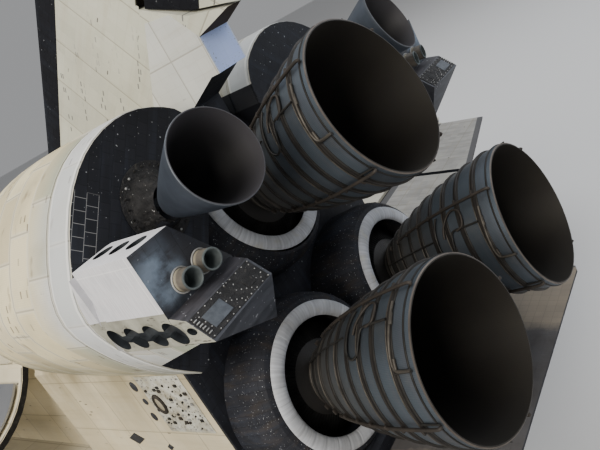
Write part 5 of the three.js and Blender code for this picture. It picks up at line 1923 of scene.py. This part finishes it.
def oval(centre, across, up, steps=24):
    """A closed oval outline."""
    turns = [TURN * step / steps for step in range(steps)]
    return [Vector(centre) + Vector(across) * math.cos(turn) + Vector(up) * math.sin(turn) for turn in turns]


class ORBITER_OT_cabin_windows(bpy.types.Operator):
    """Lays the framed windows on the cabin: six forward and two overhead"""

    bl_idname = "orbiter.cabin_windows"
    bl_label = "Cabin windows"

    FORWARD = (
        ((0.06, 7.98), (0.60, 7.96), (0.56, 8.58), (0.06, 8.60)),
        ((0.68, 7.92), (1.28, 7.74), (1.22, 8.40), (0.64, 8.56)),
        ((1.36, 7.66), (1.84, 7.36), (1.74, 8.02), (1.30, 8.32)),
    )
    OVERHEAD = ((0.16, -12.20), (0.66, -12.20), (0.66, -11.66), (0.16, -11.66))

    def window(self, corners, way, grown, rises, thickness):
        """A dark frame and a pane on the cabin; the frame's outline is grown from the pane's."""
        outline = rounded(corners)
        middle = sum(outline, Vector()) / len(outline)
        frame = [middle + (point - middle) * grown for point in outline]
        sheets = zip(("frame", "pane"), (frame, outline), rises, ("port_black", window_glass()))
        return [painted(draped(name, edge, way, "forward_fuselage", rise, thickness), finish)
                for name, edge, rise, finish in sheets]

    def execute(self, context):
        for side, sign in SIDES.items():
            made = []
            for corners in self.FORWARD:
                corners = [(x * sign, -20, z) for x, z in corners]
                made += self.window(corners, (0, 1, 0), 1.10, (0.012, 0.020), 0.016)
            corners = [(x * sign, y, 12) for x, y in self.OVERHEAD]
            made += self.window(corners, (0, 0, -1), 1.14, (0.006, 0.011), 0.012)
            riding(joined(made, f"cabin_windows_{side}"), "airframe", "white_tile")
        return {"FINISHED"}


class ORBITER_OT_nose_ports(bpy.types.Operator):
    """Lays the nose thruster ports, the side vents and the hatch window on the skin"""

    bl_idname = "orbiter.nose_ports"
    bl_label = "Nose ports and vents"

    TOP = ((0.0, -16.35), (0.34, -16.35), (-0.34, -16.35))
    SIDE = ((-16.35, 5.55), (-16.35, 5.10), (-15.95, 5.78), (-15.95, 5.32))
    VENTS = ((-8.2, "mid"), (-4.1, "mid"), (0.2, "mid"), (4.3, "mid"), (-11.1, "forward"))

    def execute(self, context):
        made = []
        for x, y in self.TOP:
            outline = oval((x, y, 12), (0.12, 0, 0), (0, 0.17, 0))
            made.append(draped("port", outline, (0, 0, -1), "forward_fuselage", 0.004, 0.008))
        for sign in SIDES.values():
            for y, z in self.SIDE:
                outline = oval((6 * sign, y, z), (0, 0.15, 0), (0, 0, 0.11))
                made.append(draped("port", outline, (-sign, 0, 0), "forward_fuselage", 0.004, 0.008))
            for y, part in self.VENTS:
                corners = ((-0.28, 5.92), (0.28, 5.92), (0.28, 6.14), (-0.28, 6.14))
                outline = rounded([(6 * sign, y + along, z) for along, z in corners], 0.04)
                made.append(draped("vent", outline, (-sign, 0, 0), f"{part}_fuselage", 0.004, 0.008))
        ports = painted(joined(made, "nose_ports"), "port_black")
        riding(ports, "airframe", "black_tile")
        pane = draped("hatch_window", oval((6, -12.15, 5.90), (0, 0.13, 0), (0, 0, 0.13)), (-1, 0, 0),
                      "forward_fuselage", 0.006, 0.010)
        riding(painted(pane, window_glass()), "airframe", "black_tile")
        return {"FINISHED"}


class ORBITER_OT_bay_frames(bpy.types.Operator):
    """Makes the ribs and sill rails inside the payload bay"""

    bl_idname = "orbiter.bay_frames"
    bl_label = "Bay frames"

    RIBS = 13
    WALL = 2.345
    FLOOR_Z = 6.604

    def execute(self, context):
        made = []
        front, rear = DOOR_ENDS
        for number in range(self.RIBS):
            y = front + 0.35 + (rear - front - 0.7) * number / (self.RIBS - 1)
            route = [(self.WALL, y, 6.98)]
            route += [(self.WALL * math.cos(turn), y, self.FLOOR_Z - self.WALL * math.sin(turn))
                      for turn in (math.pi * step / 20 for step in range(21))]
            route.append((-self.WALL, y, 6.98))
            rib = piped("rib", route, 0.045)
            middle = Matrix.Translation((0, y, 0))
            rib.data.transform(middle @ Matrix.Diagonal((1, 1.4, 1, 1)) @ middle.inverted())
            made.append(painted(rib, "bay_metal"))
        for sign in SIDES.values():
            for x, z, radius in ((2.30, 6.96, 0.05), (2.325, 6.55, 0.03), (2.31, 6.20, 0.025)):
                rail = piped("rail", [(x * sign, front + 0.1, z), (x * sign, rear - 0.1, z)], radius, 2)
                made.append(painted(rail, "bay_metal"))
            for number in range(9):
                y = front + 1.2 + number * 2.0
                size = (0.30, 0.55, 0.16)
                box = plate("box", size, frame_at((2.335 * sign, y, 5.95), (0, 1, 0), (-sign, 0, 0)), 0.012)
                made.append(painted(box, "gear_paint" if number % 3 else "bay_metal"))
        riding(joined(made, "bay_frames"), "airframe", "gear_paint")
        return {"FINISHED"}


# Landing gear

# Half of a tyre's flank and of a hub, outboard, as shares of the radius and of half the width
FLANK = ((0.975, 0.72), (0.93, 0.90), (0.84, 0.985), (0.72, 0.98), (0.62, 0.88), (0.56, 0.72))
HUB = ((0.0, 0.42), (0.13, 0.42), (0.15, 0.30), (0.42, 0.36), (0.50, 0.62), (0.575, 0.74))
GROOVES = (0.30, 0.0, -0.30)
HUB_BOLTS = 9


def wheel(name, radius, width):
    """One wheel about the x axis: a grooved tyre and a bolted hub."""
    half = width / 2
    tread = [(radius - 0.002, half * 0.50)]
    for groove in GROOVES:
        at = half * groove
        tread += [(radius, at + 0.014), (radius - 0.014, at + 0.009)]
        tread += [(radius - 0.014, at - 0.009), (radius, at - 0.014)]
    tread.append((radius - 0.002, -half * 0.50))
    flank = [(radius * r, half * s) for r, s in FLANK]
    profile = flank[::-1] + tread + [(r, -s) for r, s in flank]
    tyre = painted(turned("tyre", [*profile, profile[0]], 64, 40), "tyre_rubber")
    rim = [(radius * r, half * s) for r, s in HUB]
    rim += [(r, -s) for r, s in reversed(rim)]
    hub = painted(turned("hub", rim, 48, 35), "gear_paint")
    places = []
    for face in (1, -1):
        for number in range(HUB_BOLTS):
            turn = TURN * number / HUB_BOLTS
            spot = (radius * 0.29 * math.cos(turn), half * 0.33 * face, radius * 0.29 * math.sin(turn))
            places.append(frame_at(spot, (1, 0, 0), (0, face, 0)))
    bolts = painted(studs("bolts", places, radius * 0.030, radius * 0.045), "gear_chrome")
    return settled(joined([tyre, hub, bolts], name), spun(-90, "Z"))


def wheel_pair(name, radius, width, spacing, axle):
    """Two wheels on one axle."""
    one = wheel("wheel", radius, width)
    pair = [twin(one, "wheel", Matrix.Translation((side * spacing, 0, 0))) for side in (-1, 1)]
    bpy.data.objects.remove(one)
    shaft = piped("axle", [(-spacing, 0, 0), (spacing, 0, 0)], axle, 3)
    return joined([*pair, painted(shaft, "gear_chrome")], name)


# Legs: x and y of a main one and y of the nose one; radii of their tyres
MAIN_LEG = (3.454, 5.182)
NOSE_LEG = -14.971
MAIN_TYRE = 0.565
NOSE_TYRE = 0.406


class ORBITER_OT_wheels(bpy.types.Operator):
    """Makes the grooved tyres with their hubs"""

    bl_idname = "orbiter.wheels"
    bl_label = "Wheels"

    def execute(self, context):
        nose = wheel_pair("nose_wheel_pair", NOSE_TYRE, 0.224, 0.280, 0.050)
        nose = settled(nose, Matrix.Translation((0, NOSE_LEG, NOSE_TYRE)))
        riding(nose, "nose_wheels", "tyre_rubber", "nose_wheels")
        main = wheel_pair("main_wheel_pair", MAIN_TYRE, 0.406, 0.430, 0.075)
        for side, sign in SIDES.items():
            place = Matrix.Translation((MAIN_LEG[0] * sign, MAIN_LEG[1], MAIN_TYRE))
            body = f"main_wheels_{side}"
            riding(twin(main, f"main_wheel_pair_{side}", place), body, "tyre_rubber", body)
        bpy.data.objects.remove(main)
        return {"FINISHED"}


class ORBITER_OT_gear_details(bpy.types.Operator):
    """Makes the collars, torque links, hoses and drag braces of the landing gear"""

    bl_idname = "orbiter.gear_details"
    bl_label = "Gear details"

    HOSE = ((0.12, 5.30, 2.9), (0.17, 5.33, 2.2), (0.20, 5.30, 1.4), (0.12, 5.27, 0.78))

    def link(self, name, start, middle, end, width):
        """A scissor link of two flat arms with a pin at their joint."""
        out = Vector((width, 0, 0))
        pin = Vector(middle)
        arms = [piped("arm", [Vector(far) + out * side, pin + out * side * 0.5], 0.018)
                for side in (-1, 1) for far in (start, end)]
        arms.append(piped("pin", [pin - out, pin + out], 0.024, 2))
        return painted(joined(arms, name), "gear_paint")

    def collar(self, centre, radius, height):
        """A band round an upright leg."""
        ring = [(radius - 0.02, -height / 2), (radius, -height / 2 + 0.006), (radius, height / 2 - 0.006),
                (radius - 0.02, height / 2), (radius - 0.02, -height / 2)]
        upright = Matrix.Translation(centre) @ spun(90, "X")
        return painted(settled(turned("collar", ring, 40, 40), upright), "gear_paint")

    def execute(self, context):
        for side, sign in SIDES.items():
            x = MAIN_LEG[0] * sign
            hose = smooth_route([(x + out, y, z) for out, y, z in self.HOSE])
            made = [
                self.link("torque_link", (x, 5.06, 1.50), (x, 4.84, 1.12), (x, 5.08, 0.72), 0.07),
                self.collar((x, MAIN_LEG[1], 1.62), 0.176, 0.09),
                self.collar((x, MAIN_LEG[1], 2.35), 0.172, 0.06),
                painted(piped("drag_brace", [(x, 5.16, 1.70), (x, 3.62, 3.70)], 0.055, 2), "gear_paint"),
                painted(piped("hose", hose, 0.014), "hose_black"),
            ]
            riding(joined(made, f"main_gear_details_{side}"), "airframe", "gear_paint")
        brace = [
            painted(piped("drag_brace", [(0, -14.92, 2.30), (0, -16.30, 3.85)], 0.045, 2), "gear_paint"),
            painted(piped("light_bar", [(-0.20, -15.10, 2.62), (0.20, -15.10, 2.62)], 0.018), "gear_paint"),
            self.collar((0, NOSE_LEG, 2.24), 0.125, 0.08),
        ]
        riding(joined(brace, "nose_gear_brace"), "airframe", "gear_paint")
        steering = [
            self.link("torque_link", (0, -14.86, 1.25), (0, -14.66, 0.92), (0, -14.87, 0.58), 0.05),
            self.collar((0, NOSE_LEG, 1.35), 0.122, 0.07),
        ]
        riding(joined(steering, "nose_gear_links"), "nose_steering", "gear_paint")
        return {"FINISHED"}


# Finishes of the CAD nodes that stay

def smooth_group():
    """Geometry nodes that weld loose triangles and smooth their edges up to an angle."""
    group = bpy.data.node_groups.new("weld_and_smooth", "GeometryNodeTree")
    group.interface.new_socket("Geometry", in_out="INPUT", socket_type="NodeSocketGeometry")
    group.interface.new_socket("Geometry", in_out="OUTPUT", socket_type="NodeSocketGeometry")

    def node(kind, **settings):
        made = group.nodes.new(kind)
        for label, value in settings.items():
            setattr(made, label, value)
        return made

    source = node("NodeGroupInput")
    plain = node("GeometryNodeRemoveAttribute")
    plain.inputs["Name"].default_value = "custom_normal"
    weld = node("GeometryNodeMergeByDistance")
    weld.inputs["Distance"].default_value = 1e-5
    faces = node("GeometryNodeSetShadeSmooth", domain="FACE")
    bend = node("GeometryNodeInputMeshEdgeAngle")
    sharp = node("FunctionNodeCompare", data_type="FLOAT", operation="GREATER_THAN")
    sharp.inputs[1].default_value = math.radians(30)
    edges = node("GeometryNodeSetShadeSmooth", domain="EDGE")
    edges.inputs["Shade Smooth"].default_value = False
    result = node("NodeGroupOutput")
    chain = [source, plain, weld, faces, edges, result]
    for before, after in zip(chain, chain[1:]):
        group.links.new(before.outputs[0], after.inputs[0])
    group.links.new(bend.outputs[0], sharp.inputs[0])
    group.links.new(sharp.outputs[0], edges.inputs["Selection"])
    return group


def node_finish(name):
    """The finish of one CAD node, or a metal's name, by the node's name."""
    if name.startswith("engine_dome_"):
        return dome_tiles(name[-1])
    rules = {
        "pod_": pod_skin, "vertical_fin": fin_skin, "speed_brake_": rudder_skin, "rudder_": fin_skin,
        "drag_chute": chute_skin, "body_flap": flap_skin, "payload_door_": door_skin,
        "forward_fuselage": nose_skin, "mid_fuselage": bay_skin, "wing_": wing_skin, "elevon_": elevon_skin,
        "nose_cap": "carbon_skin", "nose_gear_door": gear_door_skin, "main_gear_door": gear_door_skin,
        "nose_gear": "gear_paint", "main_gear": "gear_paint", "nose_wheels": "tyre_rubber",
        "main_wheels": "tyre_rubber", "main_gimbal_": "dark_pipe", "orbital_gimbal_": "dark_pipe",
    }
    for start, finish in rules.items():
        if name.startswith(start):
            return finish if finish in METALS else finish()
    return airframe_skin()


class ORBITER_OT_finishes(bpy.types.Operator):
    """Smooths the nodes that stay and gives them their finishes"""

    bl_idname = "orbiter.finishes"
    bl_label = "Finishes"

    def execute(self, context):
        group = smooth_group()
        for name, node in NODES.items():
            if node.hide_render:
                continue
            painted(node, node_finish(name))
            modifier = node.modifiers.new("smooth", "NODES")
            modifier.node_group = group
        return {"FINISHED"}


class ORBITER_OT_stage(bpy.types.Operator):
    """Sets up the floor, the soft lights and the camera"""

    bl_idname = "orbiter.stage"
    bl_label = "Stage"

    LIGHTS = {
        "key": ((60, 25, 42), 40, 52000, (1.0, 0.94, 0.84)),
        "fill": ((-45, 45, 45), 50, 26000, (0.88, 0.93, 1.0)),
        "top": ((0, -10, 75), 60, 30000, (1.0, 1.0, 1.0)),
    }
    FLOOR_RADIUS = 400
    SKY = (0.80, 0.81, 0.83, 1)
    SKY_STRENGTH = 0.40
    LIT_POINT = (0, 8, 6)
    SENSOR_WIDTH = 36
    FARTHEST = 2000

    def execute(self, context):
        stage = context.scene.orbiter_stage
        floor = added("floor", bpy.ops.mesh.primitive_circle_add, vertices=64, radius=self.FLOOR_RADIUS,
                      fill_type="NGON")
        painted(floor, Finish("studio_floor", roughness=0.85).done(tuple(shades().floor)))

        world = bpy.data.worlds.new("studio")
        context.scene.world = world
        world.use_nodes = True
        background = world.node_tree.nodes["Background"]
        background.inputs["Color"].default_value = self.SKY
        background.inputs["Strength"].default_value = self.SKY_STRENGTH

        for name, (place, size, power, tint) in self.LIGHTS.items():
            light = bpy.data.lights.new(name, "AREA")
            light.size = size
            light.energy = power
            light.color = tint
            lamp = bpy.data.objects.new(name, light)
            context.scene.collection.objects.link(lamp)
            lamp.location = place
            lamp.rotation_euler = (Vector(self.LIT_POINT) - Vector(place)).to_track_quat("-Z", "Y").to_euler()

        camera = bpy.data.objects.new("camera", bpy.data.cameras.new("camera"))
        context.scene.collection.objects.link(camera)
        place, aim = Vector(stage.camera_place), Vector(stage.camera_aim)
        camera.location = place
        camera.rotation_mode = "QUATERNION"
        roll = Quaternion((0, 0, 1), stage.camera_roll)
        camera.rotation_quaternion = (aim - place).to_track_quat("-Z", "Y") @ roll
        camera.data.lens = stage.camera_lens
        camera.data.sensor_width = self.SENSOR_WIDTH
        camera.data.clip_end = self.FARTHEST
        context.scene.camera = camera
        return {"FINISHED"}


class ORBITER_PT_pieces(bpy.types.Panel):
    """Lists the orbiter's pieces in the sidebar"""

    bl_label = "Orbiter"
    bl_idname = "ORBITER_PT_pieces"
    bl_space_type = "VIEW_3D"
    bl_region_type = "UI"
    bl_category = "Orbiter"

    def draw(self, context):
        for operator in OPERATORS:
            self.layout.operator(operator.bl_idname)


OPERATORS = (
    ORBITER_OT_stage,
    ORBITER_OT_main_bells,
    ORBITER_OT_orbital_bells,
    ORBITER_OT_dome_rings,
    ORBITER_OT_rim_quilts,
    ORBITER_OT_engine_boots,
    ORBITER_OT_thruster_housings,
    ORBITER_OT_side_panels,
    ORBITER_OT_tail_fairing,
    ORBITER_OT_door_pieces,
    ORBITER_OT_cabin_windows,
    ORBITER_OT_nose_ports,
    ORBITER_OT_bay_frames,
    ORBITER_OT_wheels,
    ORBITER_OT_gear_details,
    ORBITER_OT_finishes,
)
SETTINGS = {"orbiter_colours": OrbiterColours, "orbiter_sizes": OrbiterSizes, "orbiter_stage": OrbiterStage}


def register():
    for made in (*SETTINGS.values(), *OPERATORS, ORBITER_PT_pieces):
        bpy.utils.register_class(made)
    for name, group in SETTINGS.items():
        setattr(bpy.types.Scene, name, bpy.props.PointerProperty(type=group))


def unregister():
    for name in SETTINGS:
        delattr(bpy.types.Scene, name)
    for made in (ORBITER_PT_pieces, *reversed(OPERATORS), *SETTINGS.values()):
        bpy.utils.unregister_class(made)


def main():
    """Makes every piece in order."""
    register()
    for operator in OPERATORS:
        getattr(bpy.ops.orbiter, operator.bl_idname.split(".")[1])()
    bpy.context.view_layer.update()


if __name__ == "__main__":
    main()
